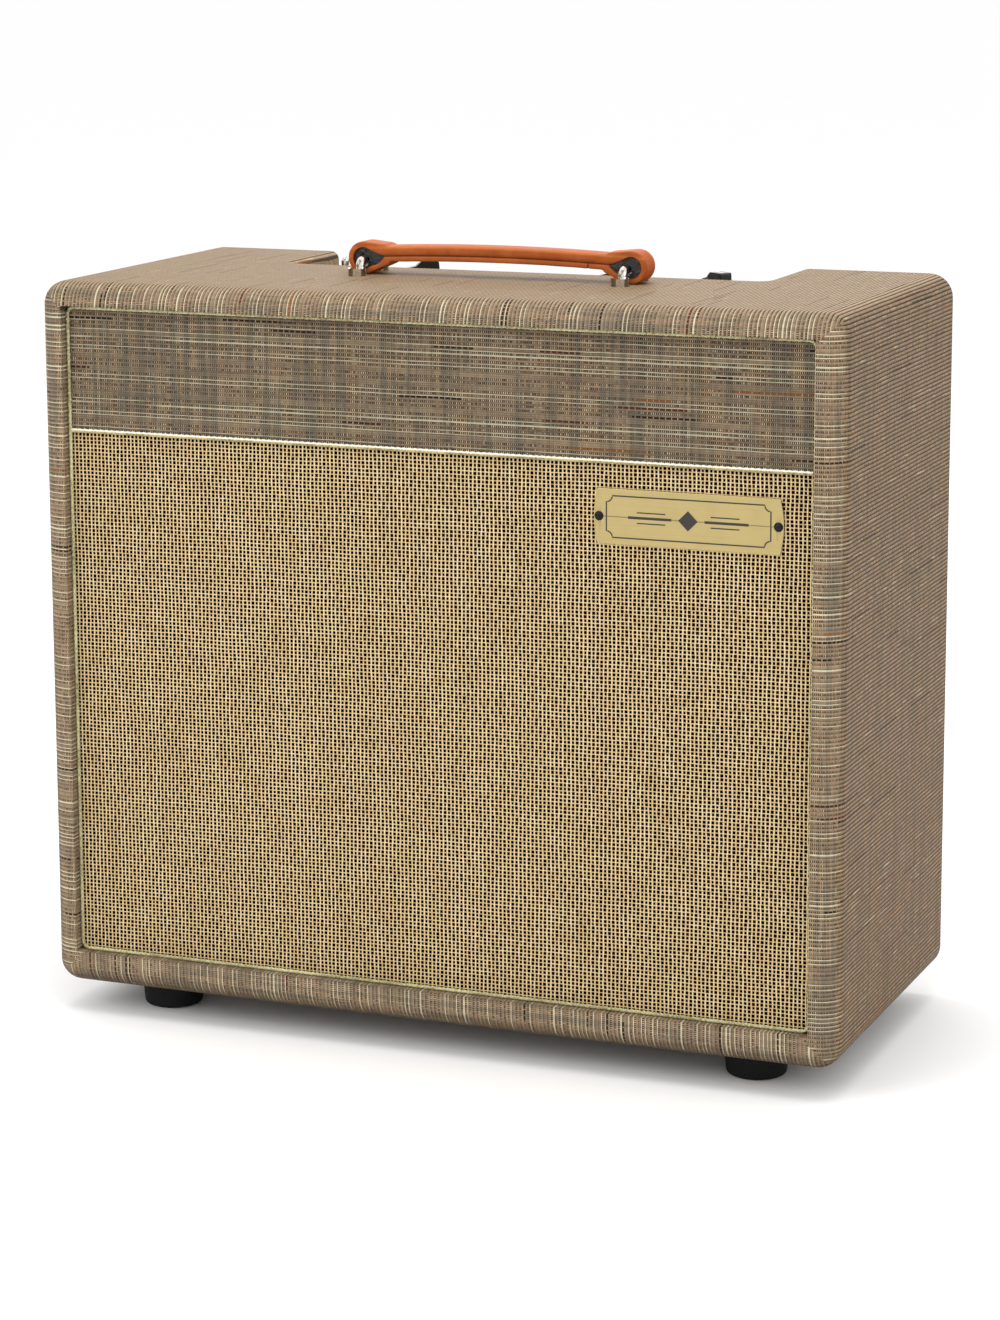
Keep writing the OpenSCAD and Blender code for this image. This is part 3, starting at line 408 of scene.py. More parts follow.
def grille_weave(name):
    """Open straw-coloured weave with dark holes."""
    k = Look(name, rough=0.55, Specular_IOR_Level=0.35)
    x, y, z = k.xyz()
    u = x / HOLE_X + (k.noise(k.vec(x, z), 0.03, 2) - 0.5) * 0.5 + 300.0
    w = z / HOLE_Z + (k.noise(k.vec(x, z, 9.0), 0.03, 2) - 0.5) * 0.5 + 300.0
    cu, cw = k.op("FLOOR", u), k.op("FLOOR", w)
    fu, fw = u - cu - 0.5, w - cw - 0.5
    au, aw = k.op("ABSOLUTE", fu), k.op("ABSOLUTE", fw)
    even = 1.0 - k.op("MODULO", cu + k.op("FLOOR", cw * 0.5), 2.0)
    odd = k.op("MODULO", cu + cw, 2.0)
    size = k.white(cu, cw)
    shift = (k.white(cu, cw, 3.0) - 0.5) * 0.08
    hu = size * 0.05 + even * 0.09 + 0.235
    hw = size * 0.06 + even * 0.04 + 0.30
    hole = k.smooth(k.op("ABSOLUTE", fu + shift) - hu, -0.035, 0.04, 1.0, 0.0)
    hole = hole * k.smooth(aw - hw, -0.035, 0.04, 1.0, 0.0)
    across = k.smooth(aw, 0.26, 0.48, 0.0, 1.0)
    upright = k.smooth(au, 0.20, 0.46, 0.0, 1.0)
    both = across * upright
    strand = k.ramp(k.white(k.op("ROUND", u), k.op("FLOOR", w / 9.0), 2.0),
                    (0.0, c(224, 192, 138)), (0.6, c(236, 208, 154)), (1.0, c(244, 220, 172)))
    weft = k.ramp(k.white(k.op("ROUND", w), k.op("FLOOR", u / 7.0), 4.0),
                  (0.0, c(216, 182, 128)), (0.6, c(230, 200, 146)), (1.0, c(242, 218, 170)))
    grain = k.noise(k.vec(x * 0.35, z * 0.35), 1.0, 3)
    col = k.mix(k.smooth(across - upright + (odd - 0.5) * both * 1.4, -0.15, 0.15), strand, weft)
    col = k.mix(k.smooth(grain, 0.35, 0.75, 0.0, 0.35), col, c(178, 142, 92))
    # painted shade: the strands darken round the rim of each hole
    edge = k.smooth(k.op("MAXIMUM", across, upright), 0.0, 0.6, 0.7, 0.0)
    col = k.mix(edge, col, c(112, 76, 42))
    worn = k.noise(k.vec(x, z, 4.0), 0.012, 3)
    col = k.mix(k.smooth(worn, 0.5, 0.75, 0.0, 0.12), col, c(232, 208, 162))
    # the holes are painted near black: the dark baffle behind them, darkened further as painted shade
    k.set("Base Color", k.mix(hole, col, c(6, 4, 3)))
    k.set("Specular IOR Level", k.smooth(hole, 0.0, 1.0, 0.35, 0.0))
    k.set("Roughness", k.smooth(hole, 0.0, 1.0, 0.5, 0.95))
    height = k.op("MAXIMUM", across * (0.75 + odd * 0.25), upright * (1.0 - odd * 0.25))
    k.bump(height - hole * 0.9, 0.0007, 1.0)
    return k


def wood(name, light, dark, axis, scale=1.0, rough=0.55):
    k = Look(name, rough=rough)
    p = k.xyz()
    a = [q * (0.006 if i == axis else 0.10) * scale for i, q in enumerate(p)]
    grain = k.noise(k.vec(*a), 1.0, 5, 0.62)
    fine = k.noise(k.vec(*[q * (0.05 if i == axis else 1.3) for i, q in enumerate(p)]), 1.0, 2)
    rings = k.op("SINE", grain * 44.0) * 0.5 + 0.5
    col = k.mix(rings * 0.55, light, dark)
    k.set("Base Color", k.mix(fine * 0.35, col, dark))
    k.bump(fine + rings * 0.3, 0.0002, 0.6)
    return k


def metal(name, col, rough=0.3, brushed=None, spots=0.25, worn=None, streak=0.0, **more):
    """Plated or bare metal; streak darkens some of the directions a polished face can point, as painted
    reflection bands.
    """
    k = Look(name, rough=rough, metal=1.0, **more)
    x, y, z = k.xyz()
    cloud = k.noise(k.vec(x, y, z), 0.06, 3, 0.6)
    if brushed is None:
        fine = k.noise(k.vec(x, y, z), 1.6, 2)
    else:
        fine = k.noise(k.vec(*[q * (0.03 if i == brushed else 4.0) for i, q in enumerate((x, y, z))]), 1.0, 3)
        k.bump(fine, 0.00006, 0.5)
    dull = worn or tuple(q * 0.72 for q in col[:3]) + (1.0,)
    tone = k.mix(k.smooth(cloud * 0.6 + fine * 0.4, 0.4, 0.7, 0.0, spots * 2), col, dull)
    # painted reflection: dark bands by the direction a face points
    if streak:
        nx, ny, nz = k.normal()
        turn = k.op("ARCTAN2", nx, ny) * 4.0 + nz * 5.0
        tone = k.mix(k.smooth(k.op("SINE", turn), -0.1, 0.55, 0.0, streak), tone, c(84, 78, 66))
    k.set("Base Color", tone)
    k.set("Roughness", k.smooth(fine, 0.3, 0.7, rough * 0.8, rough * 1.25))
    return k


def plain(name, col, rough=0.5, grain=1.2, depth=0.00006, vary=0.25, **more):
    """Moulded, painted or pressed surfaces: fine grain, slight mottling, rubbed patches."""
    k = Look(name, rough=rough, **more)
    x, y, z = k.xyz()
    cloud = k.noise(k.vec(x, y, z), 0.05, 4, 0.6)
    fine = k.noise(k.vec(x, y, z), grain, 3, 0.6)
    light = tuple(min(1.0, q * 1.5 + 0.01) for q in col[:3]) + (1.0,)
    k.set("Base Color", k.mix(k.smooth(cloud, 0.35, 0.75, 0.0, vary * 2), col, light))
    k.set("Roughness", k.smooth(cloud * 0.5 + fine * 0.5, 0.3, 0.7, rough * 0.85, min(1.0, rough * 1.15)))
    k.bump(fine, depth, 0.7)
    return k


def leather(name, cx, zt):
    """Smooth strap leather, with a painted highlight along its band's upper edges, and dark inside the loops.
    """
    k = Look(name, rough=0.55, Specular_IOR_Level=0.08)
    x, y, z = k.xyz()
    lx, h = x - cx, z - zt
    ax, ay = k.op("ABSOLUTE", lx), k.op("ABSOLUTE", y)
    pores = k.cells(k.vec(x, y, z), 1.5)
    cloud = k.noise(k.vec(x, y, z), 0.07, 4, 0.6)
    crease = k.noise(k.vec(x * 0.25, y * 0.06, z * 0.5), 1.0, 3, 0.65)
    band = BAND_TOP - lx * lx * (BAND_DROP / BAND_HALF ** 2)
    d = h - band
    col = k.ramp(cloud, (0.3, c(150, 68, 20)), (0.52, c(174, 84, 28)), (0.75, c(190, 98, 36)))
    cut = k.ramp(cloud, (0.3, c(150, 76, 34)), (0.75, c(176, 96, 50)))
    col = k.mix(k.smooth(ay, 8.2, 9.2), col, cut)
    col = k.mix(k.smooth(crease, 0.55, 0.72, 0.0, 0.35), col, c(128, 62, 26))
    # painted highlight: paler along the rounded upper edges of the band
    edge = k.smooth(ay, 7.6, 9.0) * k.smooth(k.op("ABSOLUTE", d - 6.0), 0.2, 1.6, 1.0, 0.0)
    col = k.mix(edge * 0.4, col, c(204, 122, 62))
    seam = k.smooth(k.op("ABSOLUTE", d), 0.15, 0.7, 1.0, 0.0) * (ax < 82.0)
    butt = k.smooth(k.op("ABSOLUTE", lx - BUTT_X), 0.2, 0.7, 1.0, 0.0) * (d < 0.0)
    col = k.mix(k.op("MAXIMUM", seam, butt) * 0.8, col, c(58, 28, 14))
    rx, rz = ax - LOOP_X, h - 10.9
    ring = k.op("SQRT", rx * rx + rz * rz)
    col = k.mix(k.smooth(ring, 6.9, 7.9, 0.85, 0.0), col, c(40, 24, 14))
    k.set("Base Color", col)
    k.set("Roughness", k.smooth(cloud, 0.3, 0.7, 0.42, 0.56))
    k.bump(pores * 0.4 + crease * 0.6, 0.00018, 0.6)
    return k


def cord_look(name, light, dark, top=None):
    """Gold piping cord; with top set, painted pale as a highlight and glossy above that height, in mm."""
    k = Look(name, rough=0.42, Sheen_Weight=0.2)
    x, y, z = k.xyz()
    n = k.noise(k.vec(x, y, z), 0.9, 3)
    slow = k.noise(k.vec(x, y, z), 0.03, 2)
    col = k.mix(k.smooth(n * 0.6 + slow * 0.4, 0.35, 0.65), dark, light)
    if top is not None:
        # painted highlight: the top of the cord is painted near white
        painted_crown = k.smooth(z + (n - 0.5) * 0.4, top, top + 0.7)
        col = k.mix(painted_crown, col, c(236, 233, 216))
        k.set("Roughness", k.smooth(painted_crown, 0.0, 1.0, 0.5, 0.25))
    k.set("Base Color", col)
    k.bump(n, 0.0002, 0.5)
    return k


def paper(name, col, pitch=0.0, centre=(0, 0)):
    """Pressed fibre, with concentric pressed rings when pitch is set."""
    k = Look(name, rough=0.85)
    x, y, z = k.xyz()
    fibre = k.noise(k.vec(x, y, z), 0.8, 5, 0.7)
    flecks = k.noise(k.vec(x * 0.3, y, z * 2.0), 1.0, 3, 0.7)
    light = tuple(min(1.0, q * 1.9 + 0.01) for q in col[:3]) + (1.0,)
    k.set("Base Color", k.mix(k.smooth(fibre * 0.6 + flecks * 0.4, 0.4, 0.68), col, light))
    height = fibre * 0.3
    if pitch:
        dx, dz = x - centre[0], z - centre[1]
        r = k.op("SQRT", dx * dx + dz * dz)
        height = height + k.op("SINE", r * (TAU / pitch)) * 0.5
    k.bump(height, 0.00035, 0.7)
    return k


def glass(name, tint):
    k = Look(name, rough=0.03, IOR=1.46, Transmission_Weight=0.96)
    x, y, z = k.xyz()
    n = k.noise(k.vec(x, y, z), 0.05, 3)
    k.set("Base Color", k.mix(n, (1, 1, 1, 1), tint))
    k.set("Roughness", k.smooth(n, 0.3, 0.7, 0.02, 0.07))
    return k


spk_lo, spk_hi = mm("speaker_gasket")
SX, SZ, SY = (spk_lo.x + spk_hi.x) / 2, (spk_lo.z + spk_hi.z) / 2, spk_lo.y
strap_lo, strap_hi = mm("handle_strap")
STRAP_X = (strap_lo.x + strap_hi.x) / 2

LOOKS = {
    "cover": woven_cover("woven_vinyl_wrapped", True),
    "panel": woven_cover("woven_vinyl_flat", False),
    "grille": grille_weave("straw_grille"),
    "ply": wood("birch_ply", c(206, 170, 122), c(160, 118, 74), 1),
    "ply_dark": wood("stained_ply", c(46, 38, 32), c(24, 20, 17), 0, rough=0.7),
    "pine": wood("pine_batten", c(212, 176, 124), c(168, 122, 76), 2),
    "zinc": metal("zinc_plate", c(178, 180, 182), 0.38, spots=0.3),
    # the nickel carries painted reflection bands
    "nickel": metal("polished_nickel", c(222, 219, 210), 0.12, spots=0.1, streak=0.8),
    "black_steel": metal("blackened_steel", c(40, 40, 42), 0.32, spots=0.2),
    "brass": metal("pale_brass_plate", c(184, 165, 114), 0.38, brushed=0, spots=0.16, worn=c(166, 147, 100)),
    "gold": metal("gold_anodised", c(206, 172, 96), 0.34, brushed=0, spots=0.15),
    "alu": metal("turned_shaft", c(196, 198, 200), 0.28, brushed=0),
    "copper": metal("wound_copper", c(176, 98, 56), 0.4, brushed=0),
    "rubber": plain("foot_rubber", c(9, 9, 9), 0.72, 0.9, 0.00012, 0.2, Specular_IOR_Level=0.2),
    "knob": plain("knob_phenolic", c(17, 17, 18), 0.34, 1.0, 0.00002, 0.1),
    "basket": plain("basket_enamel", c(58, 62, 66), 0.4, 1.0, 0.0001, 0.2, Coat_Weight=0.2),
    "ferrite": plain("ferrite_ring", c(48, 47, 48), 0.6, 2.0, 0.0001, 0.3),
    "core_black": plain("transformer_lacquer", c(30, 30, 32), 0.4, 1.4, 0.0001, 0.25),
    "liner": plain("loop_liner", c(15, 14, 13), 0.3, 0.35, 0.0012, 0.3),
    "plastic": plain("inlet_plastic", c(22, 22, 23), 0.35, 1.6, 0.00005, 0.12),
    "phenolic": plain("socket_phenolic", c(84, 48, 26), 0.4, 1.2, 0.00005, 0.3),
    "board": plain("board_fibre", c(128, 92, 46), 0.55, 1.4, 0.00008, 0.3),
    "lead": plain("lead_jacket", c(30, 29, 29), 0.45, 1.2, 0.00005, 0.15),
    "white": plain("pointer_paint", c(236, 234, 226), 0.5, 1.0, 0.00003, 0.05),
    "ink": plain("engraved_black", c(36, 30, 24), 0.5, 2.0, 0.00003, 0.1),
    "lamp": plain("lamp_jewel", c(170, 14, 10), 0.08, 0.6, 0.00003, 0.15,
                  Transmission_Weight=0.35, Coat_Weight=0.5),
    "leather": leather("strap_leather", STRAP_X, COV_HI.z),
    "cord": cord_look("gold_cord", c(206, 198, 150), c(118, 108, 64)),
    "cord_painted_top": cord_look("painted_top_cord", c(196, 180, 122), c(116, 98, 54), middle("piping_divider")[2]),
    "cone": paper("cone_paper", c(30, 29, 29), 2.6, (SX, SZ)),
    "cap": paper("cap_felt", c(36, 35, 36)),
    "surround": paper("surround_cloth", c(40, 39, 40), 1.0, (SX, SZ)),
    "spider": paper("spider_cloth", c(176, 130, 62), 1.1, (SX, SZ)),
    "cork": paper("cork_paper", c(150, 116, 78)),
    "glass": glass("valve_glass", (0.93, 0.97, 0.98, 1)),
    "getter": metal("getter_mirror", c(190, 190, 196), 0.1),
    "plate_grey": metal("anode_grey", c(96, 98, 102), 0.5),
    "mica": plain("mica_disc", c(206, 198, 176), 0.3, 1.0, 0.00003, 0.2),
}


# ---------- meshes ----------
def piece(name, mesh, look, body, stands_for=(), smooth=None):
    """A new piece. With body None it rides on nothing yet, and is blended afterwards."""
    o = bpy.data.objects.new(name, mesh)
    bpy.context.scene.collection.objects.link(o)
    mesh.materials.clear()
    mesh.materials.append(LOOKS[look].m)
    if smooth is not None:
        mesh.shade_smooth()
        mesh.set_sharp_from_angle(angle=math.radians(smooth))
    if body:
        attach(o, body)
    if stands_for:
        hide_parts(*stands_for)
    return o


def raw(name, verts, faces):
    """A mesh from points in millimetres."""
    me = bpy.data.meshes.new(name)
    me.from_pydata([[q / 1000 for q in p] for p in verts], [], faces)
    bm = bmesh.new()
    bm.from_mesh(me)
    bmesh.ops.remove_doubles(bm, verts=bm.verts, dist=1e-6)
    bmesh.ops.recalc_face_normals(bm, faces=bm.faces)
    bm.to_mesh(me)
    bm.free()
    return me


def made(name, shape, look, stands_for=(), smooth=None, body="cabinet"):
    """A new piece from (verts, faces) in millimetres."""
    return piece(name, raw(name, *shape), look, body, stands_for, smooth)


def copy_of(node, name):
    """A welded copy of a CAD node's mesh."""
    me = NODES[node].data.copy()
    me.name = name
    for a in [a for a in me.attributes if a.name == "custom_normal"]:
        me.attributes.remove(a)
    bm = bmesh.new()
    bm.from_mesh(me)
    bmesh.ops.remove_doubles(bm, verts=bm.verts, dist=2e-6)
    bmesh.ops.dissolve_limit(bm, angle_limit=0.003, verts=bm.verts, edges=bm.edges)
    bm.to_mesh(me)
    bm.free()
    return me


def soften(o, width, seg=2, angle=35):
    """Rounds an object's edges, width in millimetres."""
    b = o.modifiers.new("edges", "BEVEL")
    b.width, b.segments, b.limit_method = width / 1000, seg, "ANGLE"
    b.angle_limit = math.radians(angle)
    b.harden_normals = False
    w = o.modifiers.new("normals", "WEIGHTED_NORMAL")
    w.keep_sharp = True
    return o


def keep(node, look, width=0.0, seg=2, angle=40):
    """A CAD node that stays, with its finish and its edges eased."""
    o = NODES[node]
    o.data.materials.clear()
    o.data.materials.append(LOOKS[look].m)
    if width:
        weld = o.modifiers.new("weld", "WELD")
        weld.merge_threshold = 2e-6
        soften(o, width, seg, angle)
    return o


def ring_sweep(path, closed, section, frame_at):
    """Sweeps a section, a function of arc length that gives (a, b) pairs, along path."""
    verts, faces, run, n = [], [], 0.0, 0
    for i, p in enumerate(path):
        if i:
            run += math.dist(p, path[i - 1])
        e1, e2 = frame_at(i)
        ring = section(run)
        n = len(ring)
        verts += [[p[j] + e1[j] * a + e2[j] * b for j in range(3)] for a, b in ring]
    m = len(path)
    for i in range(m if closed else m - 1):
        for j in range(n):
            a, b = i * n, ((i + 1) % m) * n
            faces.append((a + j, a + (j + 1) % n, b + (j + 1) % n, b + j))
    if not closed:
        faces += [tuple(range(n)), tuple(range((m - 1) * n, m * n))]
    return verts, faces


def twisted(name, path, closed, r, pitch, look, stands_for):
    """A two-strand twisted cord in the XZ plane."""
    def frame_at(i):
        a = Vector(path[i - 1] if i or closed else path[0])
        b = Vector(path[(i + 1) % len(path)] if i + 1 < len(path) or closed else path[-1])
        t = (b - a).normalized()
        e1 = Vector((0, -1, 0))
        return e1, t.cross(e1)

    def section(run):
        out = []
        for j in range(14):
            a = TAU * j / 14
            q = r * (0.70 + 0.30 * abs(math.cos(a - TAU * run / pitch / 2)) ** 1.2)
            out.append((q * math.cos(a), q * math.sin(a)))
        return out

    return made(name, ring_sweep(path, closed, section, frame_at), look, stands_for, 60)


def lathe(profile, centre, axis, seg=96, close=True):
    """Turns (radius, height) pairs, in mm, round a Y or Z axis through centre."""
    verts, faces, n = [], [], len(profile)
    for i in range(seg):
        a = TAU * i / seg
        for r, h in profile:
            u, w = r * math.cos(a), r * math.sin(a)
            q = (u, h, w) if axis == "y" else (u, w, h)
            verts.append([centre[j] + q[j] for j in range(3)])
    for i in range(seg):
        for j in range(n if close else n - 1):
            a, b = i * n, ((i + 1) % seg) * n
            faces.append((a + j, a + (j + 1) % n, b + (j + 1) % n, b + j))
    return verts, faces


def both(*parts):
    """Joins several (verts, faces) pairs."""
    verts, faces = [], []
    for v, f in parts:
        faces += [tuple(q + len(verts) for q in face) for face in f]
        verts += v
    return verts, faces


def block(x0, x1, y0, y1, z0, z1):
    """A box as (verts, faces)."""
    v = [(x, y, z) for x in (x0, x1) for y in (y0, y1) for z in (z0, z1)]
    return v, [(0, 1, 3, 2), (4, 6, 7, 5), (0, 4, 5, 1), (2, 3, 7, 6), (0, 2, 6, 4), (1, 5, 7, 3)]


def shell(points, t):
    """A closed band t thick round an open line of (radius, height) points."""
    front, back = [], []
    for i, p in enumerate(points):
        a, b = points[max(i - 1, 0)], points[min(i + 1, len(points) - 1)]
        d = Vector((b[0] - a[0], b[1] - a[1])).normalized()
        front.append((p[0] - d.y * t / 2, p[1] + d.x * t / 2))
        back.append((p[0] + d.y * t / 2, p[1] - d.x * t / 2))
    return front + back[::-1]


# ---------- cabinet, fascia and panels ----------
def cloth_copy(node, look, width, seg=2):
    """A covered piece, with its edges rounded by width."""
    name = node + "_cloth"
    o = piece(name, copy_of(node, name), look, BODY[node], [node], 32)
    soften(o, width, seg, 40)


cloth_copy("covering", "cover", 0.35)
cloth_copy("fascia_covering", "panel", 0.3)
cloth_copy("rear_panel_upper", "panel", 0.8, 3)
cloth_copy("rear_panel_lower", "panel", 0.8, 3)
for n in ("side_left", "side_right", "top_board", "bottom_board"):
    keep(n, "ply", 0.4)
keep("fascia_panel", "ply", 0.3)
for n in ("baffle_board", "grille_frame"):
    keep(n, "ply_dark", 0.4)
for n in ("baffle_cleats", "rear_cleats"):
    keep(n, "pine", 0.5)

# ---------- grille cloth: a sheet pulled over its frame ----------
g_lo, g_hi = mm("grille_cloth")
BACK = 9.0  # how far the turned edge reaches behind the front face


def grille_sheet():
    """Front face with rounded edges that turn back round the frame."""
    r = 1.6
    verts, faces = [], []
    nx, nz = 96, 72

    def line(lo, hi, n):
        """Positions and depths across the front and round both edges."""
        out = [(lo, BACK), (lo, r)]
        out += [(lo + r * (1 - math.cos(a)), r * (1 - math.sin(a))) for a in (0.4, 0.8, 1.2)]
        out += [(lo + r + (hi - lo - 2 * r) * i / n, 0.0) for i in range(n + 1)]
        out += [(hi - r * (1 - math.cos(a)), r * (1 - math.sin(a))) for a in (1.2, 0.8, 0.4)]
        return out + [(hi, r), (hi, BACK)]

    xs, zs = line(g_lo.x, g_hi.x, nx), line(g_lo.z, g_hi.z, nz)
    for x, dx in xs:
        for z, dz in zs:
            verts.append((x, g_lo.y + 0.02 + max(dx, dz), z))
    m = len(zs)
    corner = {0, 1}
    for i in range(len(xs) - 1):
        for j in range(m - 1):
            if (i in corner or i >= len(xs) - 3) and (j in corner or j >= m - 3):
                continue
            faces.append((i * m + j, (i + 1) * m + j, (i + 1) * m + j + 1, i * m + j + 1))
    return verts, faces


grille = made("grille_cloth_sheet", grille_sheet(), "grille", ["grille_cloth"], 50)
sol = grille.modifiers.new("thickness", "SOLIDIFY")
sol.thickness = 0.0006
sol.offset = -1

# ---------- piping ----------
b_lo, b_hi = mm("piping_border")
br = (b_hi.y - b_lo.y) / 2
bx, by = b_hi.x - br, b_lo.y + br
bz0, bz1 = b_lo.z + br, b_hi.z - br


def rounded_path(hx, z0, z1, r, step):
    """Points step apart round a rectangle with corners of radius r."""
    pts = []
    corners = ((hx - r, z1 - r, 0), (-hx + r, z1 - r, 90), (-hx + r, z0 + r, 180), (hx - r, z0 + r, 270))
    for cx, cz, start in corners:
        arc = [math.radians(start + a) for a in range(0, 91, 6)]
        pts += [(cx + r * math.cos(a), cz + r * math.sin(a)) for a in arc]
    out = []
    for i, p in enumerate(pts):
        q = pts[(i + 1) % len(pts)]
        n = max(1, round(math.dist(p, q) / step))
        out += [(p[0] + (q[0] - p[0]) * j / n, by, p[1] + (q[1] - p[1]) * j / n) for j in range(n)]
    return out


twisted("border_cord", rounded_path(bx, bz0, bz1, 5, 0.55), True, br, 3.8, "cord", ["piping_border"])
d_lo, d_hi = mm("piping_divider")
dr = (d_hi.y - d_lo.y) / 2
dn = round((d_hi.x - d_lo.x) / 0.6)
d_path = [(d_lo.x + (d_hi.x - d_lo.x) * i / dn, d_lo.y + dr, d_lo.z + dr) for i in range(dn + 1)]
twisted("divider_cord", d_path, False, dr, 4.0, "cord_painted_top", ["piping_divider"])

# ---------- name plate: plain plate with an engraved keyline and ornament ----------
keep("name_plate", "brass", 0.25)
keep("plate_screws", "black_steel", 0.15)
p_lo, p_hi = mm("name_plate")


def flat_strip(points, width, y, closed):
    """A thin raised line in the XZ plane at depth y."""
    verts, faces, n = [], [], len(points)
    for i, p in enumerate(points):
        a = points[i - 1] if i or closed else points[0]
        b = points[(i + 1) % n] if i + 1 < n or closed else points[-1]
        d = Vector((b[0] - a[0], b[1] - a[1])).normalized()
        for s in (-0.5, 0.5):
            for dy in (0, -0.06):
                verts.append((p[0] - d.y * s * width, y + dy, p[1] + d.x * s * width))
    for i in range(n if closed else n - 1):
        a, b = i * 4, ((i + 1) % n) * 4
        faces += [(a + j, a + k, b + k, b + j) for j, k in ((0, 1), (1, 3), (3, 2), (2, 0))]
    return verts, faces


def plate_marks():
    """An outline with hollow corners, three lines on each side and a diamond."""
    cx, cz = (p_lo.x + p_hi.x) / 2, (p_lo.z + p_hi.z) / 2
    w, h = (p_hi.x - p_lo.x) / 2 - 8.5, (p_hi.z - p_lo.z) / 2 - 4.5
    notch = 4.0
    frame_line = []
    for sx, sz in ((1, 1), (-1, 1), (-1, -1), (1, -1)):
        arc = [math.radians(a) for a in range(0, 91, 15)]
        pts = [(cx + sx * (w - notch * math.cos(a)), cz + sz * (h - notch * math.sin(a))) for a in arc]
        frame_line += pts if sx * sz < 0 else pts[::-1]
    parts = [flat_strip(frame_line, 0.9, p_lo.y, True)]
    for s in (-1, 1):
        middle_line = [(cx + s * (11 + 29 * i / 8), cz) for i in range(9)]
        parts.append(flat_strip(middle_line, 1.7, p_lo.y, False))
        for dz in (3.4, -3.4):
            parts.append(flat_strip([(cx + s * 15, cz + dz), (cx + s * 34, cz + dz)], 0.8, p_lo.y, False))
    dia = [(cx - 6.5, p_lo.y, cz), (cx, p_lo.y, cz + 6.5), (cx + 6.5, p_lo.y, cz), (cx, p_lo.y, cz - 6.5)]
    dia += [(x, y - 0.06, z) for x, y, z in dia]
    parts.append((dia, [(4, 5, 6, 7), (0, 3, 2, 1), (0, 1, 5, 4), (1, 2, 6, 5), (2, 3, 7, 6), (3, 0, 4, 7)]))
    return both(*parts)


made("plate_engraving", plate_marks(), "ink")

# ---------- feet, screws ----------
feet_mesh = copy_of("feet", "feet_moulded")
soften(piece("feet_moulded", feet_mesh, "rubber", "cabinet", ["feet"], 40), 0.8, 3)
for n, m in (("foot_screws", "zinc"), ("baffle_screws", "black_steel"), ("rear_screws", "nickel")):
    keep(n, m, 0.25)

# ---------- handle ----------
for n in ("handle_bail_left", "handle_bail_right"):
    keep(n, "nickel", 0.3)
keep("handle_core", "zinc")
keep("handle_nuts", "zinc", 0.3)
keep("loop_liners", "liner", 0.8, 3)


def strap_mesh():
    """The strap's leather: remeshed finely, rounded, padded and creased between its layers."""
    src = bpy.data.objects.new("strap_source", copy_of("handle_strap", "strap_source"))
    bpy.context.scene.collection.objects.link(src)
    rm = src.modifiers.new("remesh", "REMESH")
    rm.mode, rm.voxel_size = "VOXEL", 0.00065
    sm = src.modifiers.new("smooth", "SMOOTH")
    sm.factor, sm.iterations = 0.5, 14
    dg = bpy.context.evaluated_depsgraph_get()
    me = bpy.data.meshes.new_from_object(src.evaluated_get(dg))
    me.name = "strap_leather"
    bpy.data.objects.remove(src)
    zt = COV_HI.z / 1000
    cx = STRAP_X / 1000
    half = (strap_hi.y - strap_lo.y) / 2000
    for v in me.vertices:
        x, y, h = (v.co.x - cx) * 1000, v.co.y, (v.co.z - zt) * 1000
        band = BAND_TOP - BAND_DROP * (x / BAND_HALF) ** 2
        d = h - band
        t = y / half
        if abs(x) < 84:
            v.co.y -= math.copysign(0.0008, y) * math.exp(-((d / 0.75) ** 2)) * max(0, abs(t) - 0.6) * 2.5
        if 0.3 < d < 6.1 and abs(x) < 84:
            v.co.y += math.copysign(0.0004, y) * math.sin(math.pi * d / 6.4) * max(0, abs(t) - 0.5) * 2
        if abs(x) < LOOP_X and d > 4.5:
            v.co.z += 0.0005 * (1 - t * t) * min(1, (LOOP_X - abs(x)) / 20)
        if abs(x - BUTT_X) < 1.5 and d < -0.2:
            k = 0.0005 * math.exp(-(((x - BUTT_X) / 0.5) ** 2))
            v.co.y -= math.copysign(k, y) * max(0, abs(t) - 0.6) * 2.5
            if d < -3:
                v.co.z += k
    return me


strap_body = BODY["handle_strap"]
strap = piece("strap_padded", strap_mesh(), "leather", strap_body, ["handle_strap"], 80)

# ---------- speaker ----------
spk = (SX, SY, SZ)
R_HOLE = 140.0  # radius of the basket's front opening
CAP_HALF = 0.86  # half angle of the dust cap's dome


def blended(o, r_in, r_out):
    """Gives a flexing ring its share of the cone's travel by radius."""
    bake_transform(o, "cabinet", "cone", start=(SX / 1000, SY / 1000, SZ / 1000),
             end=(SX / 1000, SY / 1000 + 0.1, SZ / 1000))
    data = o.data.attributes["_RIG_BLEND"].data
    for v, d in zip(o.data.vertices, data):
        r = math.hypot(v.co.x * 1000 - SX, v.co.z * 1000 - SZ)
        t = min(1, max(0, (r_out - r) / (r_out - r_in)))
        d.value = t * t * (3 - 2 * t)


roll = [(R_HOLE + 3, 2.42), (R_HOLE - 2.3, 2.42)]
half_turn = [math.pi * i / 16 for i in range(17)]
roll += [(R_HOLE - 8 + 5.6 * math.cos(a), 2.6 - 5.6 * math.sin(a)) for a in half_turn]
roll += [(R_HOLE - 13.8, 2.42), (R_HOLE - 19, 2.42)]
roll_ring = lathe(shell(roll, 0.6), spk, "y", 128)
sur = made("surround_roll", roll_ring, "surround", ["speaker_surround"], 50, None)
blended(sur, R_HOLE - 14, R_HOLE - 2.3)

wave = [(20.1, 49.55)]
wave += [(24 + i * 0.72, 49.55 + 1.9 * math.sin(math.pi * i * 0.72 / 3.6)) for i in range(51)]
wave += [(61.5, 49.55), (69.5, 49.55)]
wave_ring = lathe(shell(wave, 0.5), spk, "y", 96)
spd = made("spider_corrugated", wave_ring, "spider", ["speaker_spider"], 50, None)
blended(spd, 24, 60)

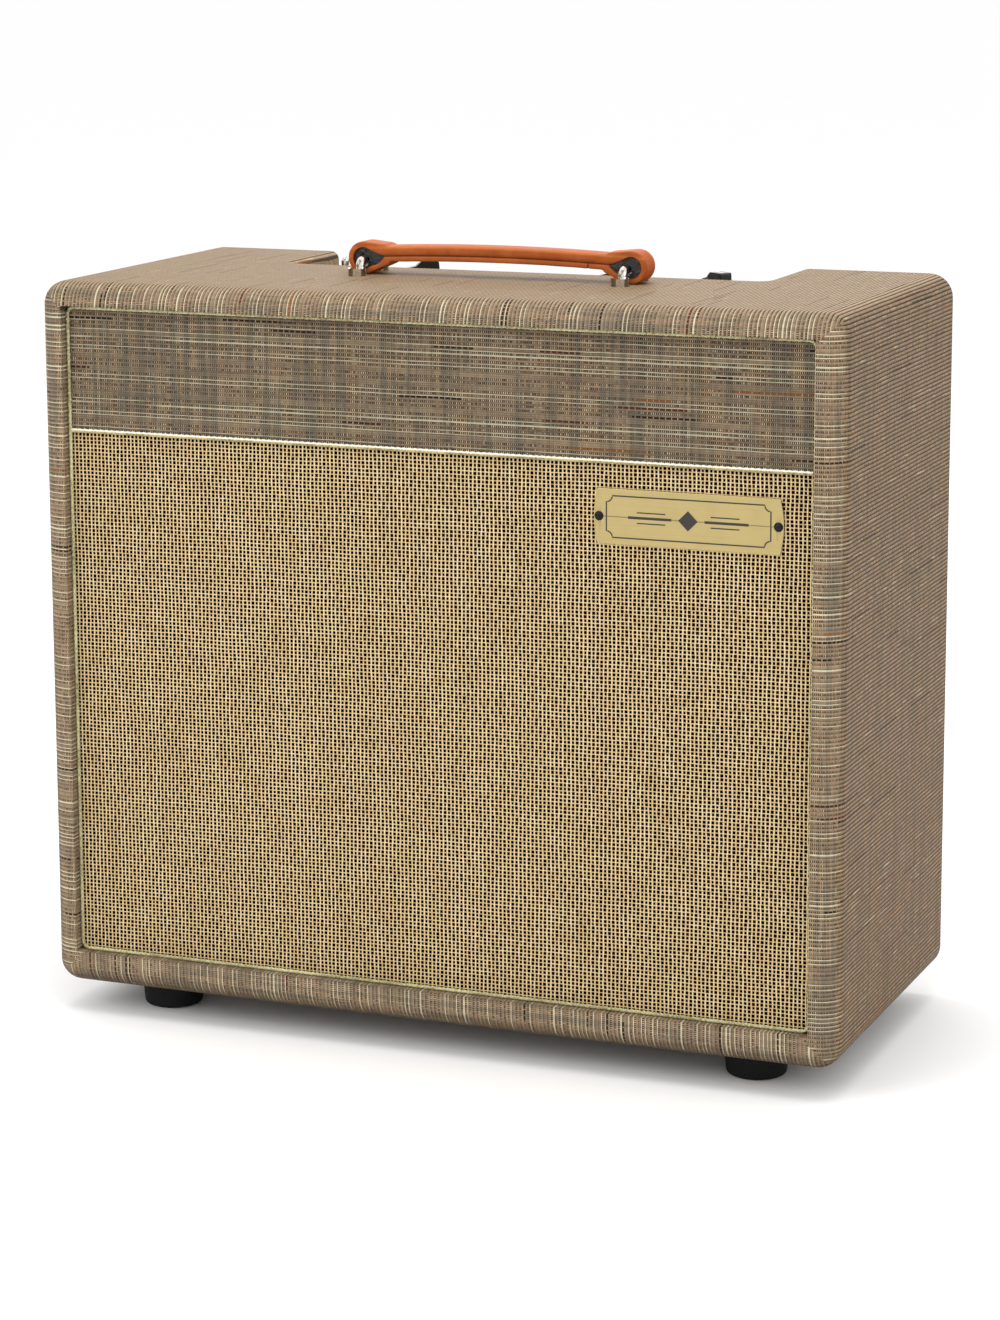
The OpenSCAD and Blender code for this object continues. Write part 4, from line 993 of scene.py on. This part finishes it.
cone_line = [(R_HOLE - 14.2, 3.3), (R_HOLE - 19, 3.3)]
for i in range(41):
    t = i / 40
    r = (R_HOLE - 20) * (1 - t) + 20.3 * t
    h = 4.2 + 36.4 * (t ** 0.93) - 1.2 * math.sin(math.pi * t) * 0.4
    cone_line.append((r, h + (0.25 * math.sin(t * 60) if 0.08 < t < 0.6 else 0)))
cone_ring = lathe(shell(cone_line, 0.9), spk, "y", 128)
made("cone_pressed", cone_ring, "cone", ["speaker_cone"], 50, "cone")
dome = [CAP_HALF * i / 12 for i in range(13)]
cap = [(27.0 * math.sin(a) / math.sin(CAP_HALF), 60.8 - 35.7 * math.cos(a)) for a in dome]
cap[0] = (0.01, cap[0][1])
made("dust_cap_domed", lathe(shell(cap, 0.7), spk, "y", 96), "cap", ["dust_cap"], 60, "cone")
gasket_mesh = copy_of("speaker_gasket", "gasket_ring")
piece("gasket_ring", gasket_mesh, "cork", "cabinet", ["speaker_gasket"], 40)
keep("speaker_basket", "basket", 0.5)
keep("speaker_magnet", "ferrite", 1.0, 3)
keep("magnet_plates", "zinc", 0.5)
keep("speaker_bolts", "black_steel", 0.2)
keep("voice_coil", "copper")


def smooth_line(pts, n=10):
    """A Catmull-Rom line through points."""
    p = [pts[0]] + list(pts) + [pts[-1]]
    out = []
    for before, start, end, after in zip(p, p[1:], p[2:], p[3:]):
        for j in range(n):
            t = j / n
            point = []
            for a, b, q, d in zip(before, start, end, after):
                bend = (2 * a - 5 * b + 4 * q - d) * t * t
                point.append(0.5 * (2 * b + (q - a) * t + bend + (3 * b - a - 3 * q + d) * t ** 3))
            out.append(tuple(point))
    return out + [tuple(pts[-1])]


def tube(path, r, seg=12):
    """A round tube along path."""
    def frame_at(i):
        t = (Vector(path[min(i + 1, len(path) - 1)]) - Vector(path[max(i - 1, 0)])).normalized()
        e1 = t.cross(Vector((1, 0, 0))).normalized()
        return e1, t.cross(e1)

    ring = [(r * math.cos(TAU * j / seg), r * math.sin(TAU * j / seg)) for j in range(seg)]
    return ring_sweep(path, False, lambda run: ring, frame_at)


# the lead's route, as (y, z): from the speaker's tags up into the chassis
ch_lo = mm("chassis")[0]
ly, lz = mm("speaker_lead")[0].y + 1.6, SZ + 75.4
route = [(ly, lz), (ly + 7, lz + 5), (ly + 29, lz + 45), (ch_lo.y - 8, ch_lo.z - 23),
         (ch_lo.y + 18, ch_lo.z - 7), (ch_lo.y + 18, ch_lo.z + 14)]
leads = both(*[tube(smooth_line([(s * 4.0, a, b) for a, b in route]), 1.5) for s in (-1, 1)])
made("speaker_lead_pair", leads, "lead", ["speaker_lead"], 60)

# ---------- chassis and controls ----------
keep("chassis", "zinc", 0.3)
keep("chassis_brackets", "zinc", 0.3)
keep("chassis_bolts", "zinc", 0.2)
keep("control_panel", "gold", 0.25)
keep("pot_bodies", "zinc", 0.2)
keep("switch_bodies", "nickel", 0.2)
keep("input_jacks", "nickel", 0.2)
keep("circuit_board", "board", 0.2)
keep("valve_sockets", "phenolic", 0.4)
keep("power_transformer", "core_black", 0.8, 3)
keep("output_transformer", "core_black", 0.8, 3)
keep("mains_inlet", "plastic", 0.5)
keep("pilot_lamp", "lamp")
for n in ("shaft_volume", "shaft_tone", "shaft_reverb"):
    keep(n, "alu", 0.2)
for n in ("toggle_power", "toggle_standby"):
    keep(n, "nickel")
for n in ("knob_volume", "knob_tone", "knob_reverb"):
    keep(n, "knob", 0.45, 3)

panel_z = mm("control_panel")[1].z
CTRL_Y = middle("pilot_lamp")[1]
# each knob's pointer at rest, in degrees from +X; its dial is centred on it
KNOBS = (("volume", 205), ("tone", 180), ("reverb", 145))
MARK_IN, MARK_OUT, NUMBER_R = 18.2, 20.6, 22.6


def pointer(x, y, z, deg):
    """The white line along a knob's pointer."""
    a = math.radians(deg)
    ux, uy = math.cos(a), math.sin(a)
    out = []
    for r, w, dz in ((-8.0, 0.55, 0.0), (0.5, 0.55, 0.0), (4.5, 0.55, -3.6), (15.4, 0.5, -6.15)):
        for s in (-1, 1):
            for t in (0.12, -0.15):
                out.append((x + ux * r - uy * s * w, y + uy * r + ux * s * w, z + dz + t))
    faces = [(0, 2, 3, 1), (12, 13, 15, 14)]
    for i in range(3):
        a, b = i * 4, i * 4 + 4
        faces += [(a, b, b + 2, a + 2), (a + 1, a + 3, b + 3, b + 1)]
        faces += [(a, a + 1, b + 1, b), (a + 2, b + 2, b + 3, a + 3)]
    return out, faces


def dial_mark(x, deg):
    """One short line of a dial, raised on the panel."""
    a = math.radians(deg)
    ux, uy = math.cos(a), math.sin(a)
    ends = [(x + ux * r - uy * s * 0.3, CTRL_Y + uy * r + ux * s * 0.3)
            for r in (MARK_IN, MARK_OUT) for s in (-1, 1)]
    verts = [(px, py, panel_z + h) for h in (-0.05, 0.05) for px, py in ends]
    return verts, [(4, 5, 7, 6), (0, 2, 3, 1), (0, 1, 5, 4), (2, 6, 7, 3), (0, 4, 6, 2), (1, 3, 7, 5)]


def digits(x, deg):
    """Dial numbers 1 to 10 round a knob, as meshes lying on the panel."""
    parts = []
    for i in range(1, 11):
        cu = bpy.data.curves.new("n", "FONT")
        cu.body, cu.size, cu.align_x, cu.align_y = str(i), 0.0034, "CENTER", "CENTER"
        cu.extrude = 0.00004
        t = bpy.data.objects.new("n", cu)
        bpy.context.scene.collection.objects.link(t)
        me = bpy.data.meshes.new_from_object(t.evaluated_get(bpy.context.evaluated_depsgraph_get()))
        a = math.radians(deg + 150 - 30 * i)
        px, py = x + NUMBER_R * math.cos(a), CTRL_Y + NUMBER_R * math.sin(a)
        verts = [(px - v.co.x * 1000, py - v.co.y * 1000, panel_z + 0.05 + v.co.z * 1000)
                 for v in me.vertices]
        parts.append((verts, [tuple(p.vertices) for p in me.polygons]))
        bpy.data.objects.remove(t)
        bpy.data.meshes.remove(me)
    return both(*parts)


marks, numbers = [], []
for name, deg in KNOBS:
    kx = middle("shaft_" + name)[0]
    knob = "knob_" + name
    line = pointer(kx, CTRL_Y, mm(knob)[1].z, deg)
    made("pointer_" + name, line, "white", body=BODY[knob])
    marks += [dial_mark(kx, deg - 150 + 30 * i) for i in range(11)]
    numbers.append(digits(kx, deg))
made("dial_marks", both(*marks), "ink")
made("dial_numbers", both(*numbers), "ink")

# ---------- valves: glass over a plate structure ----------
VY = middle("valves")[1]
TOP = mm("valves")[1].z
# x, bulb radius, bulb height, neck radius and base height of each valve
VALVES = [(x, 20, 62, 15, 26) for x in (-82, -30)] + [(x, 11, 44, 10.5, 8) for x in (22, 60, 98)]


def envelope(x, r, h, neck, base, t=0.9):
    """The bulb's wall, open at the neck inside its base."""
    z1 = TOP - base
    z0 = z1 - h
    out = [(0.01, z0)]
    out += [(r * math.sin(a), z0 + r - r * math.cos(a)) for a in [math.pi / 2 * i / 10 for i in range(1, 11)]]
    out += [(r, z1 - 0.75 * r)]
    for a in (0.5, 1.0, 1.4):
        out.append((r + (neck - 0.8 - r) * (1 - math.cos(a)), z1 - 0.75 * r + 0.75 * r * math.sin(a)))
    out += [(neck - 0.8, z1 + 2.0)]
    inner = [(max(0.01, q[0] - t), q[1] + (t if i < 6 else 0)) for i, q in enumerate(out)]
    return lathe(out + inner[::-1], (x, VY, 0), "z", 64, close=False)


def rod(x, y, z0, z1, r, seg=24):
    """An upright rod with eased ends."""
    ease = 0.08 * r
    line = [(0.01, z0), (r * 0.92, z0), (r, z0 + ease), (r, z1 - ease), (r * 0.92, z1), (0.01, z1)]
    return lathe(line, (x, y, 0), "z", seg, close=False)


def valve_base(x, z1, neck):
    """The moulded base that the bulb stands in."""
    line = [(0.01, z1 - 0.4), (neck - 1.2, z1 - 0.4), (neck - 0.4, z1 + 0.4), (neck, z1 + 1.4)]
    line += [(neck, TOP - 0.6), (neck - 0.6, TOP), (0.01, TOP)]
    return lathe(line, (x, VY, 0), "z", 64, close=False)


def getter(x, r, h, z1):
    """The mirror inside the bulb's end."""
    line = [(0.01, z1 - h + 1.3)]
    line += [((r - 1.3) * math.sin(a), z1 - h + r - (r - 1.3) * math.cos(a)) for a in (0.2, 0.4, 0.6, 0.75)]
    return lathe(line, (x, VY, 0), "z", 48, close=False)


glass_parts, base_parts, grey, mica, mirror = [], [], [], [], []
for x, r, h, neck, base in VALVES:
    z1 = TOP - base
    glass_parts.append(envelope(x, r - 0.05, h, neck, base))
    base_parts.append(valve_base(x, z1, neck))
    k = r / 20
    grey.append(block(x - 9 * k, x + 9 * k, VY - 4.5 * k, VY + 4.5 * k, z1 - 0.70 * h, z1 - 0.18 * h))
    grey.append(rod(x, VY, z1 - 0.72 * h, z1 - 0.16 * h, 6.2 * k, 32))
    for s in (-1, 1):
        grey.append(rod(x + s * 10.5 * k, VY, z1 - 0.78 * h, z1, 0.5, 12))
    for q in (0.17, 0.72):
        mica.append(rod(x, VY, z1 - q * h - 0.4, z1 - q * h + 0.4, r * 0.8, 32))
    mirror.append(getter(x, r, h, z1))
made("valve_bulbs", both(*glass_parts), "glass", ["valves"], 50)
made("valve_bases", both(*base_parts), "phenolic", smooth=40)
made("valve_anodes", both(*grey), "plate_grey", smooth=40)
made("valve_spacers", both(*mica), "mica", smooth=40)
made("valve_getters", both(*mirror), "getter", smooth=60)

# ---------- floor and light ----------
FLOOR_HALF, FLOOR_Z = 30, -0.0003  # metres; just under the feet
square = ((-1, -1), (1, -1), (1, 1), (-1, 1))
fm = bpy.data.meshes.new("floor")
fm.from_pydata([(x * FLOOR_HALF, y * FLOOR_HALF, FLOOR_Z) for x, y in square], [], [(0, 1, 2, 3)])
floor = bpy.data.objects.new("floor", fm)
bpy.context.scene.collection.objects.link(floor)
fl = Look("floor_pale", rough=0.9)
fl.set("Base Color", (0.93, 0.93, 0.93, 1))
fm.materials.append(fl.m)
floor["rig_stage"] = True

world = bpy.data.worlds.new("studio")
bpy.context.scene.world = world
world.use_nodes = True
wt = world.node_tree
bg = next(n for n in wt.nodes if n.type == "BACKGROUND")
bg.inputs[0].default_value = (1, 1, 1, 1)
bg.inputs[1].default_value = 1.06


def softbox(name, at, size, power, look_at=(0, 0, 0.25)):
    """A square area light at a point, facing look_at."""
    la = bpy.data.lights.new(name, "AREA")
    la.shape, la.size, la.energy = "SQUARE", size, power
    o = bpy.data.objects.new(name, la)
    bpy.context.scene.collection.objects.link(o)
    o.location = at
    o.rotation_mode = "QUATERNION"
    o.rotation_quaternion = (Vector(look_at) - Vector(at)).to_track_quat("-Z", "Y")


softbox("key", (-1.5, -2.3, 1.9), 1.5, 22)
softbox("fill", (2.3, -0.9, 1.2), 1.4, 6)
softbox("top", (0.1, -0.2, 2.3), 1.6, 22)
softbox("rear", (-0.8, 2.6, 1.5), 1.6, 10)
bpy.context.scene.view_settings.view_transform = "Standard"
